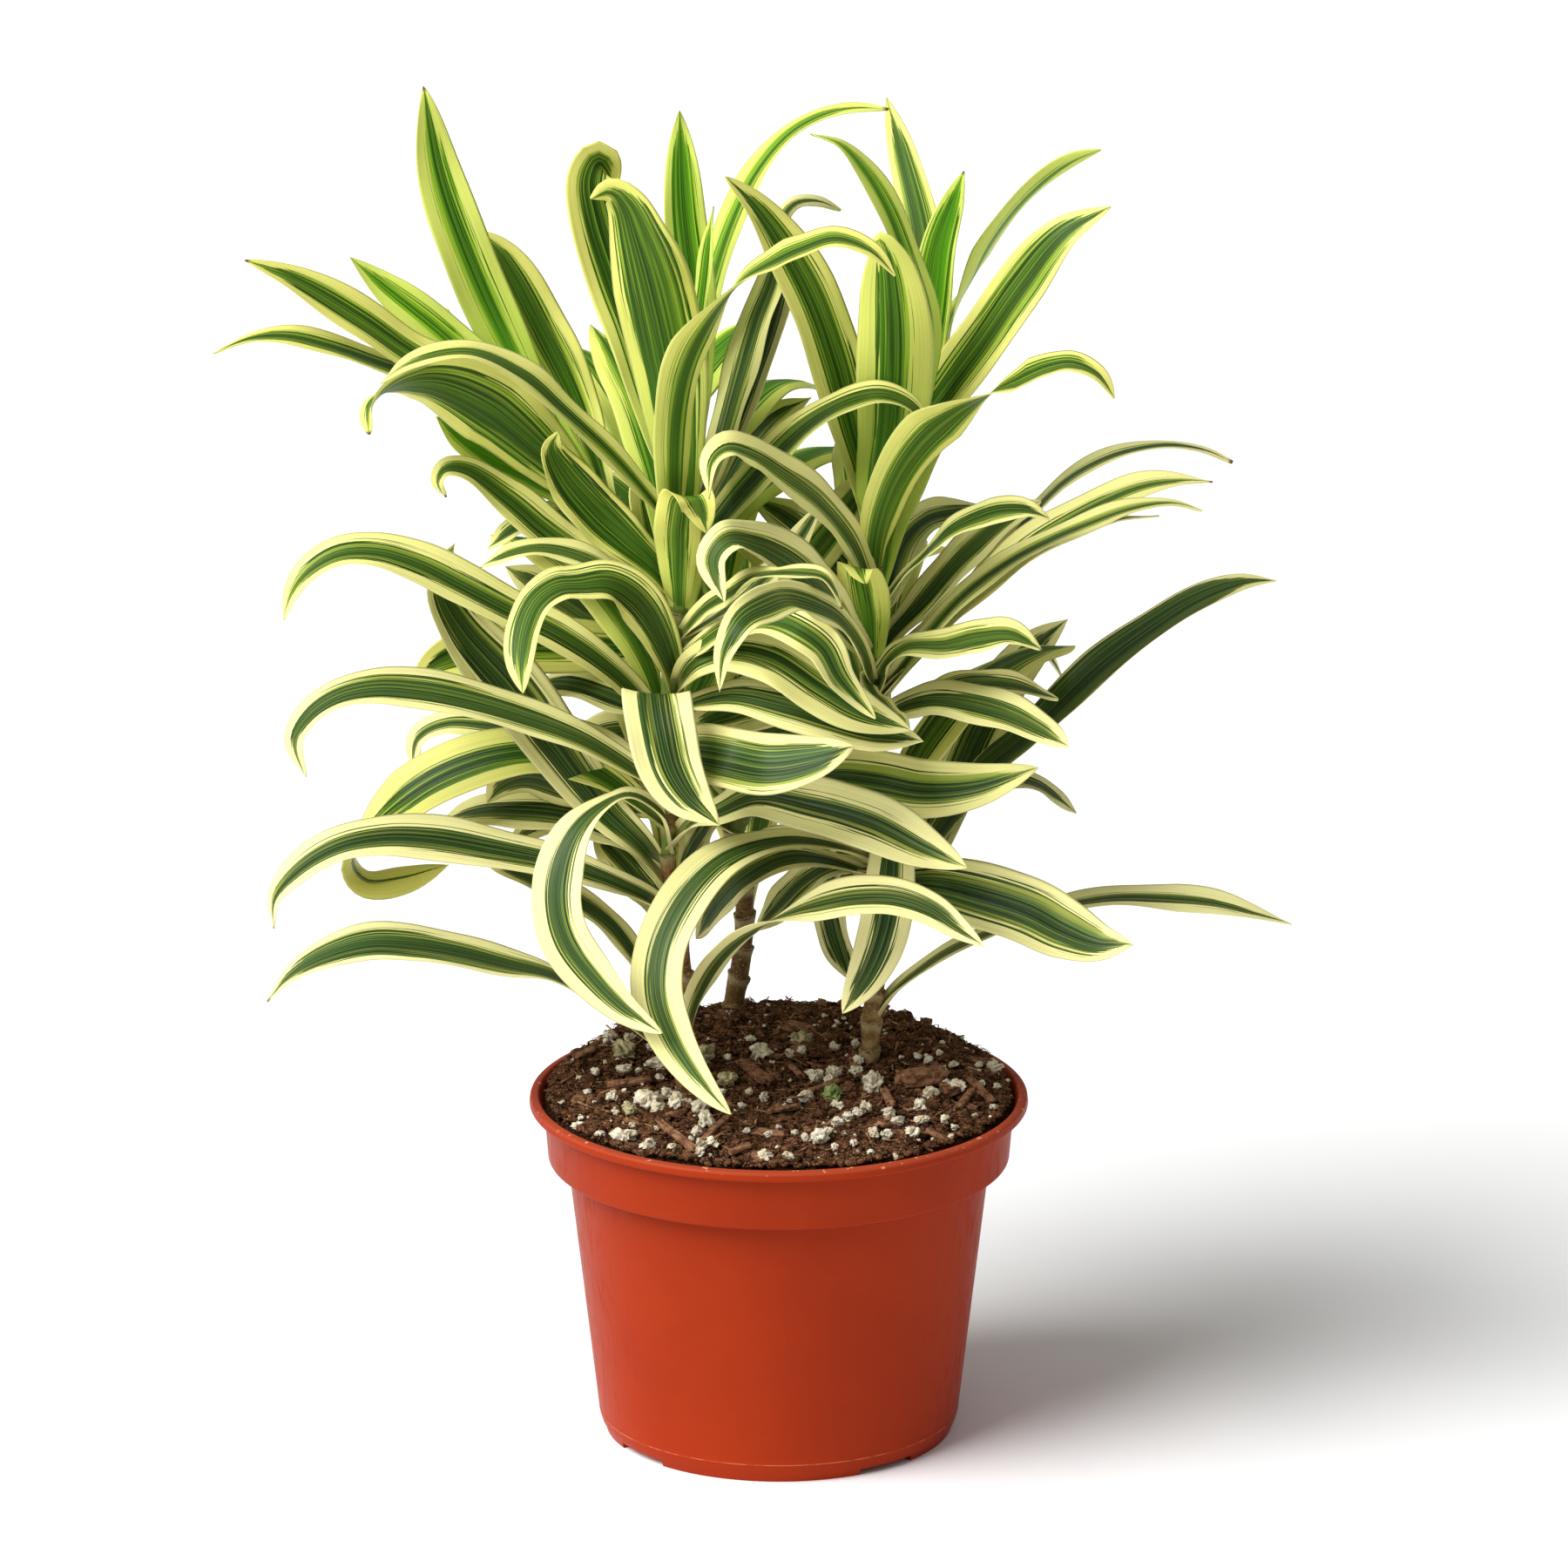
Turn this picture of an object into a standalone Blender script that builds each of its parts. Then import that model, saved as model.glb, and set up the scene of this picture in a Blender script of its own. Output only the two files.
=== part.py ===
"""Song of india dracaena in a plastic nursery pot: pot, soil and three leafy stems, +Z up."""

import random
from math import cos, hypot, pi, radians, sin, tan

import bmesh
import bpy
import numpy as np
from mathutils import Matrix, Vector
from mathutils.bvhtree import BVHTree

MM = 0.001

# The pot, in millimetres: a thin moulded wall with a stepped rim band and a flat lip.
LIP_RADIUS = 76.5
BAND_TOP_RADIUS = 73.6
BAND_FOOT_RADIUS = 71.0
BODY_TOP_RADIUS = 65.7
BODY_FOOT_RADIUS = 56.0
FOOT_RADIUS = 53.4
POT_HEIGHT = 107.5
BAND_HEIGHT = 19.5
LIP_THICK = 2.0
WALL = 1.5
FOOT_RING = 3.0
FLOOR_UNDERSIDE = 2.2
FLOOR_TOP = 4.0
PARTING_HEIGHT = 6.0
POT_SIDES = 48
NOTCH_WIDTH = 20.0
NOTCH_HEIGHT = 2.0
NOTCH_START = radians(-52)
DRAIN_RADIUS = 4.0
DRAIN_PLACE = 40.0

# The soil: its edge lies a little under the lip, and the root ball stands proud at the back.
SOIL_EDGE = 105.0
SOIL_RISE = 6.0
SOIL_BACK_RISE = 9.0
SOIL_SIDES = 36
SOIL_RINGS = 6
HOLE_CLEARANCE = 0.35
STEM_FOOT = 62.0
REST_GAP = 0.3

# The leaves: thickness at the rib, and how far a blade stays from what it passes.
LEAF_THICK = 1.0
CLEARANCE = 1.9
TEST_STEPS = 26
# Half the width of a base, hidden inside its stem, and the shares of a blade that may touch the
# bases of the same stem and the stem itself.
ROOT_HALF = 1.2
ROOT_SHARE = 0.17
YOUNG_ROOT_SHARE = 0.14
STEM_SHARE = 0.36
# Length of one straight run of a blade, and the distance within which slivers are welded.
SEGMENT_LENGTH = 17.0
FEWEST_SEGMENTS = 5
MOST_SEGMENTS = 12
WELD = 0.02

# The stems: sides of the cane, and the collars that old leaves left on it.
STEM_SIDES = 8
RING_SPACING = 13.0
FIRST_RING = 42.0
RING_FLARE = 1.12
RING_WAIST = 0.94
TIP_TAPER = 0.6

# The camera that looked at the plant. A point of the picture and a depth behind the pot's
# axis give a point in space.
PICTURE_SIDE = 1800
VIEW_TILT = radians(16.8)
VIEW_DISTANCE = 3000.0
VIEW_AIM = Vector((1.6, 0.0, 207.5))
VIEW_FOCUS = 11247.0
VIEW_BACK = Vector((0.0, -cos(VIEW_TILT), sin(VIEW_TILT)))
VIEW_UP = Vector((0.0, sin(VIEW_TILT), cos(VIEW_TILT)))
VIEW_RIGHT = Vector((1.0, 0.0, 0.0))

# Each stem: picture x, picture y, depth and radius in millimetres, from the soil to its tip.
STEMS = {
    "left_stem": (
        (785, 1250, -9, 3.1), (787, 1190, -9, 2.7), (787, 1120, -9, 2.3), (776, 1050, -10, 2.3),
        (767, 1000, -11, 2.2), (767, 960, -12, 2.3), (769, 905, -13, 2.6), (767, 860, -14, 2.7),
        (768, 800, -15, 2.8), (775, 735, -16, 3.1), (780, 690, -16, 3.1), (784, 620, -16, 2.9),
        (786, 560, -16, 2.4),
    ),
    "right_stem": (
        (998, 1232, 7, 3.1), (1001, 1165, 6, 3.1), (1008, 1110, 5, 2.9), (1012, 1050, 5, 2.8),
        (1008, 980, 4, 2.8), (1003, 900, 4, 2.8), (1000, 830, 3, 2.9), (1000, 765, 2, 3.1),
        (1001, 700, 1, 3.1), (1003, 620, 0, 2.8), (1012, 560, 0, 2.4),
    ),
    "back_stem": (
        (842, 1154, 52, 3.4), (849, 1116, 51, 3.3), (855, 1049, 50, 3.1), (850, 1000, 49, 3.1),
        (842, 956, 47, 3.2), (853, 931, 46, 3.3), (850, 860, 43, 3.2), (835, 790, 38, 3.1),
        (805, 715, 31, 3.1), (765, 650, 24, 3.0), (725, 600, 18, 2.9), (690, 565, 15, 2.4),
    ),
}

# Each leaf: stem, depth of the tip, width, age from 0 to 1, facing and course. Facing lists
# the turn of the upper face from root to tip: 0 looks at the viewer, 90 is edge on and 180
# shows the underside. One number instead is the slope of a blade that comes forward and folds
# over. The course is picture x and y from the stem outwards, with a depth where it is known.
LEAVES = (
    # Upper left crown, carried by the back stem.
    ("back_stem", 25, 17, 0.1, (20, 12, 15),
     ((692, 572), (640, 500), (586, 403), (543, 310), (505, 203), (486, 99))),
    ("back_stem", 48, 18, 0.5, (20, 15, 20),
     ((700, 580), (664, 470), (621, 381), (572, 290), (548, 263))),
    ("back_stem", 5, 17, 0.4, (45, 42, 40),
     ((690, 575), (600, 480), (520, 430), (471, 406), (414, 367), (343, 324), (281, 299))),
    ("back_stem", 22, 14, 0.1, (30, 20, 25),
     ((690, 570), (590, 462), (511, 386), (443, 331), (401, 295))),
    ("back_stem", 26, 5, 0.0, (40, 50, 50), ((690, 572), (600, 460), (527, 392), (513, 354))),
    ("back_stem", -4, 15, 0.5, (60, 60, 62),
     ((694, 580), (600, 510), (520, 458), (471, 431), (432, 417), (379, 399), (329, 387),
      (289, 389), (245, 406))),
    ("left_stem", -40, 15, 0.6, (40, 58, 60),
     ((782, 625), (757, 587), (700, 521), (646, 471), (600, 431), (539, 405), (471, 417),
      (437, 440))),
    ("back_stem", -14, 27, 0.4, (160, 165, 160, 120, 50),
     ((706, 585), (664, 560), (621, 519), (557, 466), (496, 441), (450, 446), (426, 465),
      (424, 499))),
    ("back_stem", 18, 14, 0.0, (30, 35, 35), ((700, 590), (625, 556), (557, 522), (500, 478))),
    ("left_stem", -30, 17, 0.5, (15, 15, 40),
     ((778, 690), (751, 651), (715, 618), (680, 585), (650, 550), (632, 515), (640, 496))),
    ("left_stem", 0, 15, 0.6, (35, 30, 60),
     ((777, 735), (735, 690), (690, 652), (630, 612), (584, 573), (537, 541), (512, 539),
      (503, 553), (512, 571))),
    # Upper middle crown, the top of the left stem.
    ("left_stem", 22, 20, 0.3, (25, 15, 15, 25),
     ((784, 600), (762, 512), (744, 440), (726, 372), (704, 310), (685, 250, 6), (678, 208, 8),
      (686, 187, 12), (697, 196, 18), (706, 222, 22))),
    ("left_stem", -34, 25, 0.2, (176, 172, 168, 130),
     ((785, 620), (777, 500), (769, 430), (753, 350), (734, 280), (717, 234), (700, 220),
      (678, 228))),
    ("left_stem", -2, 14, 0.0, (20, 10, 10), ((788, 580), (798, 430), (795, 330), (785, 240), (780, 126))),
    ("left_stem", -4, 8, 0.0, (40, 50, 50), ((790, 590), (800, 450), (803, 370), (819, 237))),
    ("left_stem", 16, 15, 0.4, (35, 40, 60, 65),
     ((788, 610), (786, 470), (809, 366), (822, 312), (843, 251), (870, 198), (906, 155),
      (941, 134), (977, 125), (1020, 126))),
    ("left_stem", -62, 20, 0.6, (155, 148, 120, 62, 60),
     ((784, 650), (774, 562), (777, 473), (791, 412), (820, 359), (852, 323), (884, 304),
      (920, 287), (960, 275), (1000, 289), (1027, 317))),
    ("left_stem", 30, 15, 0.7, (40, 45, 40),
     ((790, 620), (820, 540), (849, 437), (870, 366), (889, 309), (884, 272))),
    ("left_stem", 46, 13, 0.8, (45, 40, 60),
     ((792, 630), (860, 450), (897, 330), (898, 255), (914, 234), (940, 232), (965, 242))),
    # Upper right crown, the top of the right stem.
    ("right_stem", 28, 14, 0.3, (25, 20, 20),
     ((1006, 600), (1040, 450), (1060, 340), (1059, 270), (1039, 185), (1018, 112))),
    ("right_stem", -8, 14, 0.3, (40, 48, 55),
     ((1006, 605), (1045, 500), (1062, 401), (1056, 351), (1039, 294), (1018, 241), (993, 198),
      (964, 166), (930, 154))),
    ("right_stem", 4, 13, 0.1, (25, 15, 15),
     ((1012, 590), (1052, 470), (1068, 360), (1079, 280), (1095, 230), (1107, 196))),
    ("right_stem", 2, 6, 0.0, (40, 50, 50), ((1012, 585), (1050, 450), (1068, 360), (1079, 298))),
    ("right_stem", -24, 24, 0.2, (176, 172, 165),
     ((1003, 650), (1008, 560), (1020, 500), (1026, 420), (1025, 350), (1018, 296), (1010, 276),
      (1000, 282))),
    ("right_stem", 14, 15, 0.3, (30, 45, 108, 125),
     ((1010, 620), (1060, 470), (1093, 366), (1114, 323), (1136, 280), (1168, 237), (1204, 203),
      (1232, 184), (1264, 171))),
    ("right_stem", -8, 18, 0.3, (35, 25, 25),
     ((1008, 640), (1040, 540), (1064, 480), (1088, 446), (1129, 391), (1171, 330), (1221, 269),
      (1275, 237))),
    ("right_stem", -58, 21, 0.6, (160, 152, 135, 65, 60),
     ((1003, 690), (1007, 616), (1027, 555), (1060, 507), (1100, 473), (1135, 453), (1165, 440),
      (1204, 423), (1232, 419), (1260, 432), (1279, 458))),
    ("right_stem", -4, 19, 0.5, (30, 22, 25, 40),
     ((1003, 660), (995, 562), (977, 491), (959, 419), (934, 348), (906, 294), (870, 241),
      (832, 203))),
    ("left_stem", -46, 17, 0.6, (35, 40, 62, 62),
     ((782, 690), (806, 630), (834, 587), (884, 530), (934, 484), (977, 461), (1013, 455),
      (1045, 467), (1063, 492), (1063, 525))),
    ("left_stem", 36, 15, 0.8, (45, 45, 50), ((784, 660), (825, 580), (856, 519), (888, 480), (931, 457))),
    # Middle, from the left stem.
    ("right_stem", -58, 17, 0.7, (50, 45, 50, 60),
     ((1002, 705), (992, 655), (974, 616), (939, 576), (896, 544), (860, 522), (834, 516),
      (818, 530), (814, 573))),
    ("left_stem", -36, 15, 0.4, 0.0,
     ((781, 722), (779, 680), (778, 640, -24), (779, 600, -29), (786, 572, -33), (799, 574, -37),
      (806, 590), (812, 612))),
    ("right_stem", -30, 16, 0.3, -14.0,
     ((1000, 775), (999, 740, -3), (994, 700, -10), (988, 668, -17), (985, 653, -21), (987, 656, -26),
      (994, 672))),
    ("left_stem", -58, 19, 0.7, (5, 10, 25, 60, 45, 35),
     ((777, 798), (770, 764), (753, 722), (728, 688), (699, 672), (668, 674), (640, 676),
      (618, 692), (605, 720), (599, 757), (600, 796))),
    ("left_stem", -24, 18, 0.8, (35, 42, 50),
     ((770, 885), (762, 850), (726, 794), (691, 762), (637, 726), (584, 701), (530, 673),
      (480, 648), (430, 634), (387, 637), (351, 659), (334, 684), (325, 712))),
    ("left_stem", -26, 18, 0.8, (40, 45, 55),
     ((768, 930), (755, 905), (726, 884), (673, 851), (601, 823), (537, 805), (480, 794),
      (430, 791), (387, 801), (355, 823), (339, 851), (351, 892))),
    ("left_stem", -18, 19, 0.9, (45, 42, 55),
     ((776, 1072), (755, 1041), (709, 1016), (637, 991), (566, 977), (494, 965), (441, 963),
      (387, 974), (344, 999), (316, 1031), (314, 1066))),
    ("left_stem", -30, 17, 0.9, (45, 72, 45, 45),
     ((785, 1240), (774, 1221), (744, 1191), (709, 1163), (666, 1138), (630, 1120), (584, 1109),
      (530, 1095), (476, 1086), (423, 1084), (369, 1099), (334, 1120), (307, 1150))),
    ("left_stem", -58, 17, 0.8, (60, 70, 20, 20, 25),
     ((769, 975), (758, 935), (723, 913), (688, 928), (660, 957), (644, 998), (641, 1038),
      (652, 1080), (684, 1124), (716, 1156), (760, 1186))),
    ("right_stem", -66, 17, 0.9, (55, 50, 20, 15, 20),
     ((1004, 992), (964, 974), (910, 965), (860, 974), (821, 994), (785, 1034), (760, 1088),
      (756, 1141), (771, 1188), (792, 1224), (814, 1252), (839, 1279))),
    ("left_stem", -76, 21.5, 0.8, -4.0,
     ((768, 872), (762, 838, -26), (754, 803, -42), (753, 800, -53), (759, 836, -62), (771, 884, -67),
      (792, 918, -71), (826, 948))),
    ("left_stem", -66, 21, 0.8, (30, 25, 20),
     ((769, 880), (776, 868, -38), (800, 866, -50), (835, 872, -58), (880, 880), (930, 873), (980, 857))),
    ("left_stem", -60, 20, 0.8, (60, 35, 20, 20),
     ((772, 972), (795, 945), (826, 932), (870, 915), (930, 925), (1000, 945), (1060, 975),
      (1110, 996))),
    ("back_stem", -38, 20, 0.7, (50, 40, 15, 15),
     ((851, 925), (905, 905, 18), (960, 893, -12), (1010, 898, -26), (1060, 907, -32), (1120, 903),
      (1192, 881))),
    # The cluster between the stems.
    ("left_stem", -74, 18, 0.7, (30, 20, 20),
     ((777, 790), (800, 760, -36), (840, 747, -52), (888, 757, -62), (939, 790), (985, 818),
      (1045, 838))),
    ("left_stem", -84, 14, 0.7, (40, 45, 30, 20),
     ((778, 764), (830, 724, -40), (878, 712, -58), (915, 722, -75), (945, 744), (963, 777),
      (985, 803), (1005, 825))),
    ("right_stem", -98, 15, 0.7, (60, 62, 60, 30, 15),
     ((1000, 790), (987, 745, -20), (957, 708, -34), (915, 690, -50), (880, 696, -80),
      (850, 714, -92), (831, 750), (826, 794))),
    ("left_stem", -71, 13, 0.7, (40, 45, 78, 55),
     ((780, 735), (805, 703, -28), (838, 682, -45), (882, 660, -58), (922, 659), (946, 664),
      (959, 681), (967, 699))),
    ("right_stem", -58, 18, 0.8, (40, 30, 30, 50, 40),
     ((1001, 765), (970, 718, -14), (942, 680, -24), (905, 645, -34), (865, 625, -44), (834, 622, -52),
      (819, 642), (832, 692))),
    ("left_stem", -22, 9, 0.9, (35, 35, 30), ((780, 735), (850, 690, -17), (907, 635), (945, 575))),
    ("left_stem", 12, 17, 0.6, (150, 158, 160),
     ((782, 745), (850, 695, -4), (915, 652), (955, 606), (988, 562), (1008, 536))),
    ("right_stem", -52, 19, 0.7, (40, 22, 20),
     ((1001, 842), (968, 815, -16), (925, 803, -30), (875, 806, -42), (830, 822), (788, 838))),
    ("left_stem", -54, 16, 0.8, (50, 30, 22, 20),
     ((775, 815), (840, 800, -32), (903, 812, -42), (950, 826), (1000, 841), (1060, 851))),
    ("right_stem", -50, 9, 0.7, (50, 50, 45),
     ((1001, 776), (995, 782, -14), (1003, 799, -26), (1020, 818, -38), (1044, 838))),
    ("back_stem", 8, 13, 0.9, (50, 50, 45), ((851, 905), (862, 856, 34), (900, 838), (962, 848))),
    ("left_stem", 6, 14, 0.5, (35, 30, 30), ((777, 715), (758, 655), (748, 610), (742, 560), (748, 515))),
    # Lower left.
    ("left_stem", -8, 13, 0.7, (50, 56, 60),
     ((777, 745), (740, 692), (701, 657), (655, 636), (620, 630), (584, 637), (551, 651))),
    ("back_stem", 8, 14, 0.7, (45, 50, 55),
     ((760, 640), (722, 630), (687, 612), (648, 595), (600, 603), (560, 630))),
    ("left_stem", -13, 21, 0.8, (15, 12, 15, 60),
     ((772, 1020), (740, 975), (691, 926), (637, 855), (584, 784), (530, 723), (506, 678),
      (511, 642), (522, 624))),
    ("back_stem", 30, 17, 0.8, (150, 158, 160), ((835, 790), (770, 745), (700, 722), (640, 685), (580, 650))),
    ("back_stem", 2, 19, 0.5, (20, 15, 15),
     ((822, 752), (760, 745), (700, 744), (640, 742), (560, 745), (505, 762), (472, 786))),
    ("left_stem", 10, 14, 0.8, (50, 45, 45), ((769, 860), (740, 820), (691, 797), (650, 786), (606, 786))),
    ("left_stem", 6, 14, 0.8, (40, 45, 50),
     ((769, 905), (700, 858), (640, 838), (566, 834), (512, 832), (480, 848), (474, 887))),
    ("left_stem", -6, 21, 0.4, (40, 28, 30, 35, 110, 155),
     ((768, 955), (700, 897), (650, 873), (612, 865), (560, 872), (500, 895), (450, 930),
      (417, 962), (404, 990), (420, 1011), (462, 1008), (515, 993))),
    ("left_stem", 4, 15, 0.8, (150, 150, 150),
     ((769, 945), (744, 929), (700, 918), (655, 906), (605, 893), (577, 902), (559, 921))),
    ("left_stem", 8, 17, 0.8, (45, 42, 40),
     ((771, 1010), (755, 989), (709, 959), (655, 938), (566, 931), (509, 941))),
    ("left_stem", 14, 13, 0.9, (50, 52, 50),
     ((787, 1160), (748, 1126), (701, 1063), (655, 1032), (619, 1014), (559, 991))),
    ("left_stem", 22, 15, 0.8, (30, 30, 30), ((781, 1085), (752, 1035), (722, 998), (683, 958))),
    # Right side.
    ("right_stem", 22, 13, 0.8, (40, 60, 70, 70, 68),
     ((1001, 792), (1040, 745), (1100, 690), (1155, 630), (1192, 584), (1231, 548), (1281, 523),
      (1339, 512), (1381, 517), (1415, 531))),
    ("right_stem", 2, 18, 0.7, (30, 50, 58, 58, 60),
     ((1001, 800), (1045, 752), (1095, 700), (1139, 662), (1174, 632), (1224, 600), (1267, 577),
      (1310, 560), (1353, 553), (1392, 553))),
    ("right_stem", -16, 15, 0.7, (30, 55, 66, 66, 66),
     ((1001, 812), (1030, 775), (1067, 728), (1110, 682), (1160, 646), (1210, 619), (1253, 601),
      (1299, 585), (1346, 578), (1380, 586))),
    ("right_stem", 34, 11, 0.8, (55, 66, 70),
     ((1002, 820), (1070, 735), (1130, 680), (1200, 630), (1270, 600), (1331, 592))),
    ("right_stem", -36, 14, 0.7, (76, 80, 78, 48, 45),
     ((1001, 742), (1021, 685), (1060, 640), (1090, 612), (1120, 596), (1150, 587), (1180, 587),
      (1207, 597))),
    ("right_stem", 34, 17, 0.9, (35, 30, 50, 55),
     ((1001, 730), (1022, 670), (1040, 622), (1065, 597), (1100, 588), (1138, 582))),
    ("right_stem", 18, 15, 0.8, (40, 42, 45),
     ((1001, 775), (1020, 736), (1062, 690), (1105, 640), (1150, 601), (1195, 575))),
    ("right_stem", 40, 17, 0.8, (50, 54, 52, 50),
     ((1012, 1060), (1050, 1000), (1095, 935), (1139, 880), (1174, 851), (1217, 809), (1264, 765),
      (1317, 725), (1371, 690), (1424, 670), (1465, 667))),
    ("right_stem", 62, 20, 0.9, (30, 28, 30, 40),
     ((1012, 1075), (1060, 985), (1095, 905), (1125, 838), (1160, 778), (1192, 740), (1226, 711))),
    ("right_stem", 72, 10, 0.9, (45, 50, 60),
     ((1010, 1010), (1060, 900), (1120, 800), (1165, 752), (1195, 747), (1224, 786))),
    ("right_stem", -52, 17, 0.7, (35, 70, 50, 50),
     ((1001, 815), (1014, 772, -14), (1042, 744, -28), (1085, 742), (1125, 733), (1160, 731),
      (1197, 747))),
    ("right_stem", -6, 14, 0.8, (50, 55, 60),
     ((1002, 842), (1040, 812), (1074, 797), (1121, 785), (1160, 787), (1215, 803))),
    ("right_stem", -52, 17, 0.8, (45, 42, 38),
     ((1002, 855), (1024, 820), (1067, 805), (1121, 811), (1160, 823), (1192, 838), (1227, 858))),
    ("right_stem", 26, 13, 0.9, (50, 55, 62),
     ((1008, 985), (1050, 935), (1110, 905), (1160, 895), (1190, 901), (1212, 915), (1235, 934))),
    # Lower right.
    ("left_stem", -72, 16, 0.9, (150, 140, 110, 50, 30, 25),
     ((787, 1200), (798, 1150, -18), (828, 1099, -30), (870, 1066, -40), (910, 1048), (945, 1038),
      (985, 1031), (1030, 1032), (1070, 1046), (1100, 1067), (1130, 1087))),
    ("right_stem", -48, 22, 0.8, (30, 18, 15, 20),
     ((1010, 1020), (1040, 1016, -16), (1080, 1018, -26), (1120, 1028), (1180, 1047), (1220, 1068),
      (1260, 1083), (1300, 1084))),
    ("right_stem", -6, 14, 0.9, (60, 62, 72, 50, 48),
     ((1002, 1178), (1026, 1141), (1058, 1113), (1090, 1092), (1136, 1072), (1180, 1052),
      (1226, 1040), (1279, 1032), (1330, 1032), (1390, 1037), (1440, 1049), (1483, 1061))),
    ("right_stem", -32, 16, 0.9, 8.0,
     ((1006, 945), (1016, 938, -12), (1023, 960, -20), (1022, 1010, -25), (1016, 1060, -29),
      (998, 1112), (967, 1163))),
    ("right_stem", 18, 13, 0.9, (50, 40, 30),
     ((1006, 955), (975, 975, 14), (950, 1010), (955, 1060), (977, 1128))),
    ("right_stem", 22, 13, 0.9, (40, 35, 40),
     ((1008, 1000), (960, 994, 14), (925, 1010), (895, 1040), (868, 1068))),
    ("right_stem", 6, 13, 0.9, (50, 45, 40),
     ((1007, 1008), (950, 988, 0), (900, 986, -8), (860, 1006, -8), (828, 1035), (800, 1078))),
    ("back_stem", 14, 16, 0.9, (150, 150, 150),
     ((852, 985), (884, 968), (925, 975), (962, 1000), (995, 1034))),
    ("left_stem", -30, 12, 0.8, (50, 45, 45), ((774, 1045), (788, 990), (810, 952), (838, 922))),
    ("back_stem", 30, 17, 0.9, (35, 30, 35), ((853, 940), (822, 885), (770, 850), (700, 842), (640, 862))),
    ("back_stem", 24, 17, 0.9, (35, 30, 35), ((850, 960), (800, 925), (730, 905), (650, 930), (585, 968))),
    # Behind the cluster, where the stems stand close.
    ("left_stem", 18, 15, 0.9, (30, 30, 30), ((780, 760), (830, 720), (885, 672), (935, 622), (980, 575))),
    ("right_stem", 34, 16, 0.9, (35, 30, 30), ((1001, 720), (975, 668), (940, 625), (900, 592), (862, 572))),
    ("back_stem", 22, 15, 0.9, (40, 35, 35), ((856, 880), (845, 830), (852, 780), (882, 735), (925, 705))),
)

# The leaves that only show from behind: stem, how many, and the stretch of stem they grow on.
REAR_LEAVES = (
    ("left_stem", 7, 0.42, 0.95),
    ("right_stem", 8, 0.40, 0.95),
    ("back_stem", 12, 0.34, 0.96),
)
REAR_SEED = 8
GOLDEN_ANGLE = radians(137.5)
REAR_SPREAD = radians(96)
REAR_START = radians(42)

# Lumps of perlite and chips of bark on the soil: how many, and their smallest and largest size.
PERLITE = (34, 2.4, 5.0)
BARK = (15, 6.0, 11.0)
CRUMB_SEED = 5

COLOURS = {
    "pot": ((0.46, 0.055, 0.02), 0.42),
    "soil": ((0.035, 0.016, 0.008), 0.95),
    "left_stem": ((0.09, 0.21, 0.05), 0.45),
    "right_stem": ((0.12, 0.24, 0.05), 0.45),
    "back_stem": ((0.07, 0.17, 0.05), 0.45),
}


def clear_scene():
    for thing in list(bpy.data.objects):
        bpy.data.objects.remove(thing, do_unlink=True)


def smooth_step(value):
    value = min(max(value, 0.0), 1.0)
    return value * value * (3 - 2 * value)


def mix(low, high, share):
    return low + (high - low) * share


def finish(name, thing):
    """Gives a finished object its name and its own material."""
    thing.name = name
    thing.data.name = name
    colour, rough = COLOURS[name]
    material = bpy.data.materials.new(name)
    material.use_nodes = True
    shader = material.node_tree.nodes["Principled BSDF"]
    shader.inputs["Base Color"].default_value = (*colour, 1.0)
    shader.inputs["Roughness"].default_value = rough
    shader.inputs["Metallic"].default_value = 0.0
    thing.data.materials.clear()
    thing.data.materials.append(material)
    thing.data.shade_smooth()
    thing.data.set_sharp_from_angle(angle=radians(35))
    return thing


def object_from(bm, name):
    bmesh.ops.recalc_face_normals(bm, faces=bm.faces)
    mesh = bpy.data.meshes.new(name)
    bm.to_mesh(mesh)
    bm.free()
    thing = bpy.data.objects.new(name, mesh)
    bpy.context.collection.objects.link(thing)
    return thing


def mesh_object(name, points, faces):
    """A mesh object from points in millimetres."""
    bm = bmesh.new()
    corners = [bm.verts.new(Vector(point) * MM) for point in points]
    for face in faces:
        bm.faces.new([corners[index] for index in face])
    return object_from(bm, name)


def apply_boolean(target, operation, others, solver="EXACT"):
    """Joins the other objects to the target, or cuts them from it, and removes them."""
    group = bpy.data.collections.new("tools")
    bpy.context.scene.collection.children.link(group)
    for other in others:
        for owner in list(other.users_collection):
            owner.objects.unlink(other)
        group.objects.link(other)
    modifier = target.modifiers.new(operation, "BOOLEAN")
    modifier.operation = operation
    modifier.solver = solver
    modifier.operand_type = "COLLECTION"
    modifier.collection = group
    graph = bpy.context.evaluated_depsgraph_get()
    result = bpy.data.meshes.new_from_object(target.evaluated_get(graph))
    target.modifiers.clear()
    target.data = result
    for other in others:
        bpy.data.objects.remove(other, do_unlink=True)
    bpy.data.collections.remove(group)


def lathe(name, profile, sides):
    """A solid turned about Z from an outline in millimetres that starts and ends on the axis."""
    bm = bmesh.new()
    corners = [bm.verts.new((radius * MM, 0.0, height * MM)) for radius, height in profile]
    edges = [bm.edges.new(pair) for pair in zip(corners, corners[1:])]
    bmesh.ops.spin(bm, geom=corners + edges, cent=(0, 0, 0), axis=(0, 0, 1), angle=2 * pi, steps=sides)
    bmesh.ops.remove_doubles(bm, verts=bm.verts, dist=1e-6)
    return object_from(bm, name)


def upright_cylinder(radius, low, high, place, sides):
    bm = bmesh.new()
    middle = Matrix.Translation((place[0] * MM, place[1] * MM, (low + high) / 2 * MM))
    bmesh.ops.create_cone(bm, cap_ends=True, segments=sides, radius1=radius * MM, radius2=radius * MM,
                          depth=(high - low) * MM, matrix=middle)
    return object_from(bm, "cylinder")


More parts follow.
